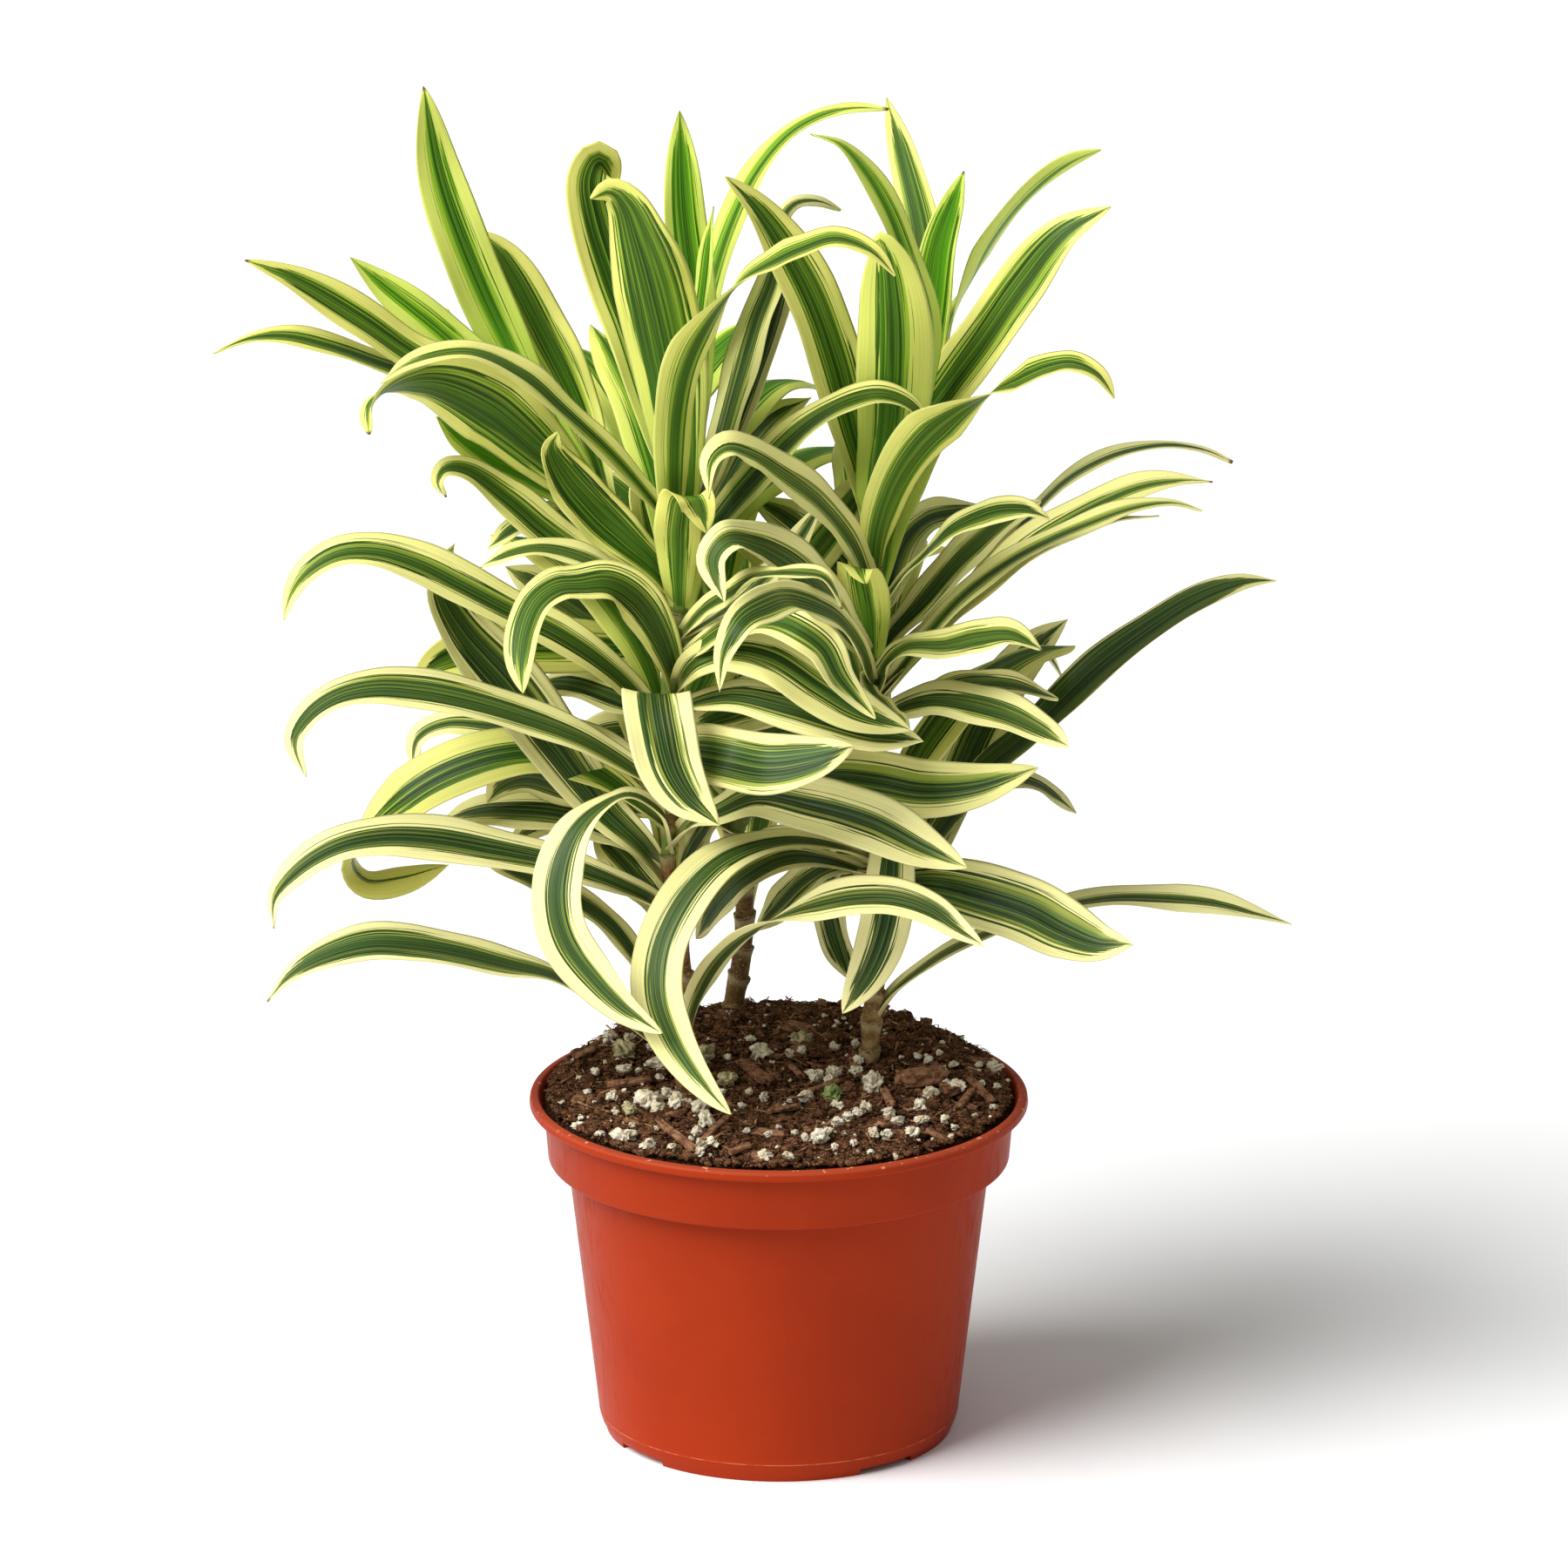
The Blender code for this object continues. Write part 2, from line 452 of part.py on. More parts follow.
def wall_radius(height):
    """Outer radius of the pot's body below the rim band."""
    share = (height - PARTING_HEIGHT) / (POT_HEIGHT - BAND_HEIGHT - PARTING_HEIGHT)
    return mix(BODY_FOOT_RADIUS, BODY_TOP_RADIUS, share)


def make_pot():
    step = POT_HEIGHT - BAND_HEIGHT
    lip_under = POT_HEIGHT - LIP_THICK
    inner_foot = FLOOR_TOP + 3.0
    profile = [
        (0, FLOOR_TOP),
        (wall_radius(FLOOR_TOP) - WALL - 2.5, FLOOR_TOP),
        (wall_radius(inner_foot) - WALL, inner_foot),
        (BODY_TOP_RADIUS - WALL, step + 0.4),
        (BAND_FOOT_RADIUS - WALL, step + WALL),
        (BAND_TOP_RADIUS - WALL, lip_under),
        (LIP_RADIUS - 1.8, POT_HEIGHT),
        (LIP_RADIUS - 0.4, POT_HEIGHT),
        (LIP_RADIUS, POT_HEIGHT - 0.6),
        (LIP_RADIUS - 0.3, lip_under),
        (BAND_TOP_RADIUS, lip_under - 0.5),
        (BAND_FOOT_RADIUS, step),
        (BODY_TOP_RADIUS, step),
        (BODY_FOOT_RADIUS, PARTING_HEIGHT),
        (BODY_FOOT_RADIUS - 0.9, PARTING_HEIGHT - 2.4),
        (FOOT_RADIUS, 0),
        (FOOT_RADIUS - FOOT_RING, 0),
        (FOOT_RADIUS - FOOT_RING - 0.3, FLOOR_UNDERSIDE),
        (0, FLOOR_UNDERSIDE),
    ]
    pot = lathe("pot", profile, POT_SIDES)
    cutters = []
    for quarter in range(4):
        angle = NOTCH_START + quarter * pi / 2
        out = Vector((sin(angle), -cos(angle), 0.0))
        turn = Matrix.Rotation(angle, 4, "Z")
        place = Matrix.Translation(out * (FOOT_RADIUS + 1.0) * MM)
        bm = bmesh.new()
        size = Matrix.Diagonal((NOTCH_WIDTH * MM, 12 * MM, 2 * NOTCH_HEIGHT * MM, 1))
        bmesh.ops.create_cube(bm, size=1.0, matrix=place @ turn @ size)
        cutters.append(object_from(bm, "notch"))
        drain = out * DRAIN_PLACE
        cutters.append(upright_cylinder(DRAIN_RADIUS, 0.5, 6.0, (drain.x, drain.y), 12))
    apply_boolean(pot, "DIFFERENCE", cutters)
    return finish("pot", pot)


def soil_height(x, y):
    """Height of the soil at a place, in millimetres: a mound that is higher at the back."""
    share = min(hypot(x, y) / (LIP_RADIUS - 4.0), 1.0)
    dome = (1 - share**6) ** 0.7
    back = smooth_step((y + 40) / 90) * (1 - share**9)
    ripple = 0.5 * sin(x * 0.21 + 1.3) * sin(y * 0.17 + 0.4) + 0.35 * sin(x * 0.43 - y * 0.31)
    return SOIL_EDGE + SOIL_RISE * dome + SOIL_BACK_RISE * back + ripple * (1 - share**8)


def inner_radius(height):
    """Inner radius of the pot wall at a height, where the soil leans on it."""
    step = POT_HEIGHT - BAND_HEIGHT
    if height > step + WALL:
        share = (height - step - WALL) / (BAND_HEIGHT - WALL - LIP_THICK)
        return mix(BAND_FOOT_RADIUS, BAND_TOP_RADIUS, share) - WALL
    return wall_radius(min(height, step)) - WALL


def make_soil(stems):
    """Soil that fills the pot, with holes for the stems, perlite and bark."""
    step = POT_HEIGHT - BAND_HEIGHT
    slack = REST_GAP / cos(pi / POT_SIDES) + inner_radius(SOIL_EDGE) * (1 - cos(pi / SOIL_SIDES)) * 0.2
    levels = [FLOOR_TOP + REST_GAP, FLOOR_TOP + 3.4, step + 0.1, step + WALL + 0.5]
    radii = [inner_radius(FLOOR_TOP) - 3.2, inner_radius(FLOOR_TOP + 3.0), inner_radius(step),
             inner_radius(step + WALL)]
    points = [(0.0, 0.0, levels[0])]
    rings = [(radius - slack, level) for radius, level in zip(radii, levels)]
    for radius, level in rings:
        points += [place_on_ring(radius, side) + (level,) for side in range(SOIL_SIDES)]
    for ring in range(SOIL_RINGS, 0, -1):
        radius = (inner_radius(SOIL_EDGE) - slack) * (ring / SOIL_RINGS) ** 0.8
        for side in range(SOIL_SIDES):
            x, y = place_on_ring(radius, side)
            points.append((x, y, soil_height(x, y)))
    points.append((0.0, 0.0, soil_height(0, 0)))
    faces = []
    count = len(rings) + SOIL_RINGS
    for side in range(SOIL_SIDES):
        after = (side + 1) % SOIL_SIDES
        faces.append((0, 1 + after, 1 + side))
        for ring in range(count - 1):
            low = 1 + ring * SOIL_SIDES
            high = low + SOIL_SIDES
            faces.append((low + side, low + after, high + after))
            faces.append((low + side, high + after, high + side))
        last = 1 + (count - 1) * SOIL_SIDES
        faces.append((last + side, last + after, len(points) - 1))
    soil = mesh_object("soil", points, faces)
    apply_boolean(soil, "UNION", crumbs(stems), "MANIFOLD")
    holes = []
    for line in stems.values():
        foot = line[0]
        radius = foot[3] * 1.12 + HOLE_CLEARANCE
        holes.append(upright_cylinder(radius, STEM_FOOT - REST_GAP, POT_HEIGHT + 30, foot[:2], 14))
    apply_boolean(soil, "DIFFERENCE", holes, "MANIFOLD")
    return finish("soil", soil)


def place_on_ring(radius, side):
    angle = 2 * pi * side / SOIL_SIDES
    return (radius * cos(angle), radius * sin(angle))


def crumbs(stems):
    """Perlite lumps and bark chips, sunk halfway into the soil and clear of the stems."""
    draw = random.Random(CRUMB_SEED)
    feet = [line[0] for line in stems.values()]
    taken = [(foot[0], foot[1], 7.0) for foot in feet]
    made = []
    for kind, (count, smallest, largest) in (("bark", BARK), ("perlite", PERLITE)):
        placed = 0
        while placed < count:
            radius = 64 * draw.random() ** 0.5
            angle = 2 * pi * draw.random()
            x, y = radius * cos(angle), radius * sin(angle)
            size = mix(smallest, largest, draw.random() ** 1.6)
            if any(hypot(x - a, y - b) < size * 0.6 + gap for a, b, gap in taken):
                continue
            taken.append((x, y, size * 0.6))
            placed += 1
            turn = Matrix.Rotation(draw.random() * 2 * pi, 4, "Z")
            lean = Matrix.Rotation(radians(draw.uniform(-14, 14)), 4, "X")
            bm = bmesh.new()
            if kind == "bark":
                shape = Matrix.Diagonal((size, size * 0.42, size * 0.2, 1))
                bmesh.ops.create_cube(bm, size=1.0)
            else:
                shape = Matrix.Diagonal((size * 0.5, size * 0.4, size * 0.38, 1))
                bmesh.ops.create_icosphere(bm, subdivisions=1, radius=1.0)
            height = soil_height(x, y) + size * 0.06
            place = Matrix.Translation((x, y, height)) @ turn @ lean @ shape
            bmesh.ops.transform(bm, matrix=Matrix.Scale(MM, 4) @ place, verts=bm.verts)
            made.append(object_from(bm, kind))
    return made


def spot(x, y, depth):
    """The point in space, in millimetres, behind a point of the picture at a depth."""
    reach = Vector(VIEW_BACK) * -VIEW_FOCUS
    reach += VIEW_RIGHT * (x - PICTURE_SIDE / 2)
    reach -= VIEW_UP * (y - PICTURE_SIDE / 2)
    eye = VIEW_AIM + VIEW_BACK * VIEW_DISTANCE
    return eye + reach * ((depth - eye.y) / reach.y)


def smooth_line(points, count):
    """A smooth curve through the points, read at count + 1 evenly spaced places."""
    points = [np.array(point, dtype=float) for point in points]
    ends = [2 * points[0] - points[1], *points, 2 * points[-1] - points[-2]]
    fine = []
    for before, start, stop, after in zip(ends, ends[1:], ends[2:], ends[3:]):
        lengths = [np.linalg.norm(b[:3] - a[:3]) ** 0.5 + 1e-6
                   for a, b in ((before, start), (start, stop), (stop, after))]
        knots = np.cumsum([0.0, *lengths])
        for step in range(10):
            place = mix(knots[1], knots[2], step / 10)
            low = blend(before, start, knots[0], knots[1], place)
            middle = blend(start, stop, knots[1], knots[2], place)
            high = blend(stop, after, knots[2], knots[3], place)
            first = blend(low, middle, knots[0], knots[2], place)
            second = blend(middle, high, knots[1], knots[3], place)
            fine.append(blend(first, second, knots[1], knots[2], place))
    fine = np.array([*fine, points[-1]])
    along = np.concatenate([[0], np.cumsum(np.linalg.norm(np.diff(fine[:, :3], axis=0), axis=1))])
    places = np.linspace(0, along[-1], count + 1)
    return np.stack([np.interp(places, along, column) for column in fine.T], axis=1)


def blend(first, second, start, stop, place):
    return first + (second - first) * ((place - start) / (stop - start))


def stem_lines():
    """The centre line and radius of each stem, from its foot in the soil to its tip."""
    lines = {}
    for name, course in STEMS.items():
        points = [(*spot(x, y, depth), radius) for x, y, depth, radius in course]
        x, y, height, radius = points[0]
        foot = [(x, y, STEM_FOOT, radius), (x, y, (STEM_FOOT + height) / 2, radius)]
        lines[name] = smooth_line(foot + points, 60)
    return lines


def frames(line):
    """Unit tangents along a line of points."""
    tangents = np.gradient(line[:, :3], axis=0)
    return tangents / np.linalg.norm(tangents, axis=1)[:, None]


def leaf_shape(share):
    """Width of a blade along its length, as a part of its greatest width."""
    if share < 0.56:
        return mix(0.42, 1.0, smooth_step(share / 0.56))
    return (1 - min((share - 0.56) / 0.44, 1.0) ** 3) ** 0.85


def traced_spine(leaf, stems, push):
    """Centre line of a leaf from its course in the picture, set back by a push."""
    stem, tip_depth, _, _, _, course = leaf
    foot = np.array(spot(*course[0][:2], 0.0))
    line = stems[stem]
    flat = np.array([spot_at_depth(point) for point in line])
    root_depth = line[np.argmin(np.linalg.norm(flat - foot, axis=1)), 1]
    picture = np.array([point[:2] for point in course], dtype=float)
    lengths = np.linalg.norm(np.diff(picture, axis=0), axis=1)
    along = np.concatenate([[0], np.cumsum(lengths)]) / lengths.sum()
    known = [(0.0, root_depth)]
    known += [(share, point[2]) for share, point in zip(along, course) if len(point) == 3]
    known.append((1.0, tip_depth))
    depths = np.interp(along, *zip(*known))
    depths += push * np.array([smooth_step(share / 0.3) for share in along])
    return [tuple(spot(x, y, depth)) for (x, y), depth in zip(picture, depths)]


def spot_at_depth(point):
    """Where the line of sight through a point crosses the plane of the pot's axis."""
    eye = np.array(VIEW_AIM + VIEW_BACK * VIEW_DISTANCE)
    ray = point[:3] - eye
    return eye + ray * (-eye[1] / ray[1])


def traced_axes(leaf, line):
    """Across and upper-face directions of a traced blade at each point of its line."""
    facing = leaf[4]
    tangents = frames(line)
    shares = np.linspace(0, 1, len(line))
    view = np.array(VIEW_BACK)
    across = np.empty_like(tangents)
    upper = np.empty_like(tangents)
    if folds_over(leaf):
        slope = radians(facing)
        level = cos(slope) * np.array(VIEW_RIGHT) + sin(slope) * np.array(VIEW_UP)
        for index, tangent in enumerate(tangents):
            side = level - tangent * level.dot(tangent)
            across[index] = side / np.linalg.norm(side)
            upper[index] = np.cross(tangent, across[index])
        return across, upper
    side = 1.0 if leaf[5][-1][0] > leaf[5][0][0] else -1.0
    turns = np.radians(np.interp(shares, np.linspace(0, 1, len(facing)), facing))
    for index, (tangent, turn) in enumerate(zip(tangents, turns)):
        toward = view - tangent * view.dot(tangent)
        toward /= np.linalg.norm(toward)
        outward = np.cross(toward, tangent) * side
        upper[index] = cos(turn) * toward + sin(turn) * outward
        across[index] = np.cross(upper[index], tangent)
    return across, upper


def rear_leaves(stems):
    """Leaves on the far side, as root, heading, length, width and age, by a seeded rule."""
    draw = random.Random(REAR_SEED)
    made = []
    for stem, count, low, high in REAR_LEAVES:
        turn = draw.random() * REAR_SPREAD
        for index in range(count):
            share = mix(low, high, (index + 0.5) / count)
            turn = (turn + GOLDEN_ANGLE) % REAR_SPREAD
            root = stems[stem][int(share * 60)]
            length = draw.uniform(104, 142) * mix(1.0, 0.86, share)
            made.append((stem, root[:3], REAR_START + turn, length, draw.uniform(15, 20), 1 - share * 0.9))
    return made


def rear_spine(leaf, push):
    """An arching centre line that starts steep and bows down, turned aside by a push."""
    _, root, heading, length, _, age = leaf
    turn, droop = push
    heading += radians(turn)
    steps = 8
    start = radians(mix(80, 62, age) - droop / 2)
    stop = radians(mix(8, -48, age) - droop)
    point = np.array(root, dtype=float)
    points = [tuple(point)]
    for index in range(steps):
        pitch = mix(start, stop, (index + 0.5) / steps)
        out = np.array((cos(heading) * cos(pitch), sin(heading) * cos(pitch), sin(pitch)))
        point = point + out * length / steps
        points.append(tuple(point))
    return points


def rear_axes(leaf, line):
    heading = leaf[2]
    level = np.array((-sin(heading), cos(heading), 0.0))
    tangents = frames(line)
    across = level - tangents * (tangents @ level)[:, None]
    across /= np.linalg.norm(across, axis=1)[:, None]
    return -across, np.cross(tangents, -across)


def is_traced(leaf):
    return isinstance(leaf[-1], tuple)


def folds_over(leaf):
    return isinstance(leaf[4], float)


def leaf_age(leaf):
    return leaf[3] if is_traced(leaf) else leaf[5]


def blade(leaf, stems, push, count):
    """Centre line, across and upper directions and half widths of a blade."""
    if is_traced(leaf):
        line = smooth_line(traced_spine(leaf, stems, push), count)
        across, upper = traced_axes(leaf, line)
        width = leaf[2]
    else:
        line = smooth_line(rear_spine(leaf, push), count)
        across, upper = rear_axes(leaf, line)
        width = leaf[4]
    halves = np.array([width / 2 * leaf_shape(share) for share in np.linspace(0, 1, count + 1)])
    halves[0] = ROOT_HALF
    return line, across, upper, halves


def channel(share):
    """How far the margins are raised: steep where the base clasps the stem, then shallow."""
    return radians(mix(46, 13, smooth_step(share / 0.3)))


def sheet(parts, first=0):
    """Points and faces of a blade without thickness, to test what it meets."""
    line, across, upper, halves = parts
    count = len(line) - 1
    points = []
    for index in range(first, count + 1):
        rise = tan(channel(index / count))
        for place in (-1.0, -0.5, 0.0, 0.5, 1.0):
            offset = across[index] * place + upper[index] * abs(place) * rise
            points.append(Vector(line[index] + offset * halves[index] * cos(channel(index / count))))
    faces = []
    for row in range(count - first):
        for column in range(4):
            corner = row * 5 + column
            faces.append((corner, corner + 1, corner + 6, corner + 5))
    return points, faces


class Placed:
    """A blade or stem in its place, ready to be tested against others."""

    def __init__(self, stem, points, faces):
        self.stem = stem
        self.points = points
        self.tree = BVHTree.FromPolygons(points, faces)
        spread = np.array(points)
        self.low = spread.min(axis=0) - CLEARANCE
        self.high = spread.max(axis=0) + CLEARANCE

    def meets(self, other):
        if (self.low > other.high).any() or (self.high < other.low).any():
            return False
        if self.tree.overlap(other.tree):
            return True
        return any(other.tree.find_nearest(point, CLEARANCE)[0] is not None for point in self.points)


def placed_parts(leaf, stems, push):
    """The whole blade, the part free of its stem's leaf bases, and the part free of the stem."""
    parts = blade(leaf, stems, push, TEST_STEPS)
    whole = Placed(leaf[0], *sheet(parts))
    share = ROOT_SHARE + YOUNG_ROOT_SHARE * (1 - leaf_age(leaf))
    free = Placed(leaf[0], *sheet(parts, round(TEST_STEPS * share)))
    outer = Placed(leaf[0], *sheet(parts, round(TEST_STEPS * STEM_SHARE)))
    return whole, free, outer


def tube(line, sides):
    """Points and faces of a closed tube along a line that holds a radius in its last column."""
    tangents = frames(line)
    points = []
    for point, tangent in zip(line, tangents):
        side = np.cross(tangent, (0.0, 1.0, 0.0))
        side /= np.linalg.norm(side)
        front = np.cross(side, tangent)
        for step in range(sides):
            angle = 2 * pi * step / sides
            offset = side * cos(angle) + front * sin(angle)
            points.append(tuple(point[:3] + offset * point[3]))
    faces = [tuple(range(sides))[::-1]]
    for ring in range(len(line) - 1):
        for step in range(sides):
            after = (step + 1) % sides
            low = ring * sides
            faces.append((low + step, low + after, low + sides + after, low + sides + step))
    faces.append(tuple(range((len(line) - 1) * sides, len(line) * sides)))
    return points, faces


def pushes(leaf):
    """How far a leaf may be set back or turned aside, the smallest change first."""
    if is_traced(leaf):
        away = [2.5 * step for step in range(1, 19)]
        return [0.0, *away, *(-2.5 * step for step in range(1, 13))]
    turns = [(turn * 7.0, droop * 9.0) for turn in range(-5, 6) for droop in range(-4, 5)]
    return sorted(turns, key=lambda turn: hypot(*turn))


def settle(stems):
    """Bends every leaf clear of the stems and leaves before it, the nearest leaf first.

    Leaves that fold over come before all others. A rear leaf that finds no room is left out."""
    leaves = sorted(LEAVES, key=lambda leaf: (not folds_over(leaf), mean_depth(leaf)))
    leaves += rear_leaves(stems)
    poles = [Placed(name, *tube(line[::3], STEM_SIDES)) for name, line in stems.items()]
    done = []
    chosen = []
    for leaf in leaves:
        best = None
        for push in pushes(leaf):
            whole, free, outer = placed_parts(leaf, stems, push)
            clashes = [other for other in done if pair_meets(whole, free, other)]
            clashes += [pole for pole in poles if pole_meets(whole, outer, pole)]
            if best is None or len(clashes) < best[0]:
                best = (len(clashes), push, whole, free)
            if not clashes:
                break
        if best[0] and not is_traced(leaf):
            continue
        done.append(best[2:])
        chosen.append((leaf, best[1]))
    return chosen


def pair_meets(whole, free, other):
    other_whole, other_free = other
    if whole.stem == other_whole.stem:
        return free.meets(other_free)
    return whole.meets(other_whole)


def pole_meets(whole, outer, pole):
    return outer.meets(pole) if pole.stem == whole.stem else whole.meets(pole)


def mean_depth(leaf):
    known = [point[2] for point in leaf[5] if len(point) == 3]
    return (sum(known) + leaf[1]) / (len(known) + 1)


def leaf_object(parts):
    """A closed blade with a chevron section: margins raised, thickest at the rib."""
    line, across, upper, halves = parts
    count = len(line) - 1
    points = []
    for index in range(count):
        angle = channel(index / count)
        out = across[index] * cos(angle) * halves[index]
        rise = upper[index] * sin(angle) * halves[index]
        thick = upper[index] * LEAF_THICK / 2
        points += [line[index] - out + rise, line[index] + thick, line[index] + out + rise,
                   line[index] - thick]
    points.append(line[count])
    faces = [(0, 1, 2), (0, 2, 3)]
    for row in range(count - 1):
        low = row * 4
        for left, right in ((0, 1), (1, 2), (0, 3), (3, 2)):
            quad = (low + left, low + right, low + 4 + right, low + 4 + left)
            if left == 1 or right == 2:
                faces += [(quad[0], quad[1], quad[3]), (quad[1], quad[2], quad[3])]
            else:
                faces += [(quad[0], quad[1], quad[2]), (quad[0], quad[2], quad[3])]
    last = (count - 1) * 4
    for left, right in ((0, 1), (1, 2), (0, 3), (3, 2)):
        faces.append((last + left, last + right, len(points) - 1))
    return mesh_object("leaf", points, faces)


def ringed(line):
    """The stem's line with the collars that old leaves left, each a short flare."""
    lengths = np.linalg.norm(np.diff(line[:, :3], axis=0), axis=1)
    along = np.concatenate([[0], np.cumsum(lengths)])
    places = [0.0, FIRST_RING - 12.0]
    flares = [1.0, 1.0]
    place = FIRST_RING
    while place < along[-1] - RING_SPACING:
        places += [place, place + 0.8]
        flares += [RING_FLARE, RING_WAIST]
        place += RING_SPACING
    places.append(along[-1])
    flares.append(TIP_TAPER)
    rows = np.stack([np.interp(places, along, column) for column in line.T], axis=1)
    rows[:, 3] *= flares
    return rows


def keep_outer_body(thing):
    """Welds slivers, fills the hollows that fusing sealed and drops loose scraps."""
    bm = bmesh.new()
    bm.from_mesh(thing.data)
    bmesh.ops.triangulate(bm, faces=bm.faces)
    welded = bmesh.ops.find_doubles(bm, verts=bm.verts, dist=WELD * MM)["targetmap"]
    points = [tuple(vert.co / MM) for vert in bm.verts]
    corners = [[welded.get(vert, vert).index for vert in face.verts] for face in bm.faces]
    bm.free()
    faces = largest_shell(without_flaps(corners))
    pinched = pinched_edges(faces)
    while pinched:
        start, stop = pinched[0]
        corners = [[start if corner == stop else corner for corner in face] for face in faces]
        faces = largest_shell(without_flaps(corners))
        pinched = pinched_edges(faces)
    used = sorted({corner for face in faces for corner in face})
    number = {corner: index for index, corner in enumerate(used)}
    tidy = mesh_object("tidy", [points[corner] for corner in used],
                       [[number[corner] for corner in face] for face in faces])
    thing.data = tidy.data
    bpy.data.objects.remove(tidy, do_unlink=True)


def without_flaps(corners):
    """The triangles, less those that a weld has flattened and pairs that lie back to back."""
    faces = {}
    for face in corners:
        key = tuple(sorted(face))
        if len(set(face)) < 3:
            continue
        if key in faces:
            del faces[key]
        else:
            faces[key] = face
    return list(faces.values())


def pinched_edges(faces):
    """Edges where the surface touches itself, so more than two triangles share them."""
    shared = {}
    for face in faces:
        for edge in zip(face, face[1:] + face[:1]):
            edge = tuple(sorted(edge))
            shared[edge] = shared.get(edge, 0) + 1
    return sorted(edge for edge, count in shared.items() if count != 2)


def largest_shell(faces):
    """The largest group of triangles that are joined edge to edge."""
    by_edge = {}
    for index, face in enumerate(faces):
        for edge in zip(face, face[1:] + face[:1]):
            by_edge.setdefault(frozenset(edge), []).append(index)
    left = set(range(len(faces)))
    largest = []
    while left:
        shell = [left.pop()]
        for index in shell:
            face = faces[index]
            for edge in zip(face, face[1:] + face[:1]):
                for neighbour in by_edge[frozenset(edge)]:
                    if neighbour in left:
                        left.remove(neighbour)
                        shell.append(neighbour)
        if len(shell) > len(largest):
            largest = shell
    return [faces[index] for index in largest]


def make_stem(name, stems, chosen):
    points, faces = tube(ringed(stems[name]), STEM_SIDES)
    stem = mesh_object(name, points, faces)
    blades = []
    for leaf, push in chosen:
        if leaf[0] != name:
            continue
        rough = blade(leaf, stems, push, 8)[0]
        length = np.linalg.norm(np.diff(rough, axis=0), axis=1).sum()
        count = int(min(max(round(length / SEGMENT_LENGTH), FEWEST_SEGMENTS), MOST_SEGMENTS))
        blades.append(leaf_object(blade(leaf, stems, push, count)))
    apply_boolean(stem, "UNION", blades, "MANIFOLD")
    keep_outer_body(stem)
    return finish(name, stem)


clear_scene()
stems = stem_lines()
make_pot()
make_soil(stems)
chosen = settle(stems)
for name in STEMS:
    make_stem(name, stems, chosen)
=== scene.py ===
# %% [markdown]
# # A potted song of india dracaena
# The plant has three leafy canes in a stepped plastic nursery pot. Every leaf is long, arched and
# striped: a dark green middle between two cream margins. This lesson builds the same plant as the
# plain solids of the frame, but with thin curled blades, ringed canes, crumbly soil and a turned
# pot. All lengths in the tables are millimetres, and `MM` turns them into metres.

import random
from math import cos, hypot, pi, radians, sin, tan

import bmesh
import bpy
import numpy as np
from mathutils import Matrix, Vector, noise
from mathutils.bvhtree import BVHTree


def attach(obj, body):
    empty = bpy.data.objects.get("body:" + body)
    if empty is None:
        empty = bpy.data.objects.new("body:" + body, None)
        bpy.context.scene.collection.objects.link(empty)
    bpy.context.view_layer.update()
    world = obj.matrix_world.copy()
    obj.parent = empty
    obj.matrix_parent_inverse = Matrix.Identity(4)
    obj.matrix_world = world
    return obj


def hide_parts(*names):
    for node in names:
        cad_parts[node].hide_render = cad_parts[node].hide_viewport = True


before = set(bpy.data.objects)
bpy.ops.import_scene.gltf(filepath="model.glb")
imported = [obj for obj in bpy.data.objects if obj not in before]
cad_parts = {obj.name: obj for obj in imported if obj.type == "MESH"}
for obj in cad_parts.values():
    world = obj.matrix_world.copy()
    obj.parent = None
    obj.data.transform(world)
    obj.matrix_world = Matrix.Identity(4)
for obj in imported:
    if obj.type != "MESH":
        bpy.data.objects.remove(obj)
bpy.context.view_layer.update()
MM = 0.001

# %% [markdown]
# ## The camera
# The photograph looks down at the plant from about three metres, through a long lens. A point of
# the picture and a depth behind the pot's axis therefore give one point in space. The tables of
# canes and leaves below are read that way, so the camera's numbers come first.

# %% Camera
PICTURE_SIDE = 1800
VIEW_TILT = radians(16.8)
VIEW_DISTANCE = 3000.0
VIEW_AIM = Vector((1.6, 0.0, 207.5))
VIEW_FOCUS = 11247.0
SENSOR = 36.0
VIEW_BACK = Vector((0.0, -cos(VIEW_TILT), sin(VIEW_TILT)))
VIEW_UP = Vector((0.0, sin(VIEW_TILT), cos(VIEW_TILT)))
VIEW_RIGHT = Vector((1.0, 0.0, 0.0))


def make_camera():
    data = bpy.data.cameras.new("camera")
    data.sensor_width = SENSOR
    data.lens = VIEW_FOCUS / PICTURE_SIDE * SENSOR
    camera = bpy.data.objects.new("camera", data)
    bpy.context.scene.collection.objects.link(camera)
    camera.location = (VIEW_AIM + VIEW_BACK * VIEW_DISTANCE) * MM
    camera.rotation_euler = (pi / 2 - VIEW_TILT, 0.0, 0.0)
    data.clip_start = 0.1
    data.clip_end = 30.0
    bpy.context.scene.camera = camera
    print("camera at", [round(value, 3) for value in camera.location], "lens", round(data.lens, 1))


make_camera()


def spot(x, y, depth):
    """The point in space, in millimetres, behind a point of the picture at a depth."""
    reach = Vector(VIEW_BACK) * -VIEW_FOCUS
    reach += VIEW_RIGHT * (x - PICTURE_SIDE / 2)
    reach -= VIEW_UP * (y - PICTURE_SIDE / 2)
    eye = VIEW_AIM + VIEW_BACK * VIEW_DISTANCE
    return eye + reach * ((depth - eye.y) / reach.y)


# %% [markdown]
# ## The canes
# Each cane is a row of picture points with a depth and a radius, from the soil to the tip. The back
# cane leans far to the left and carries the upper left crown.

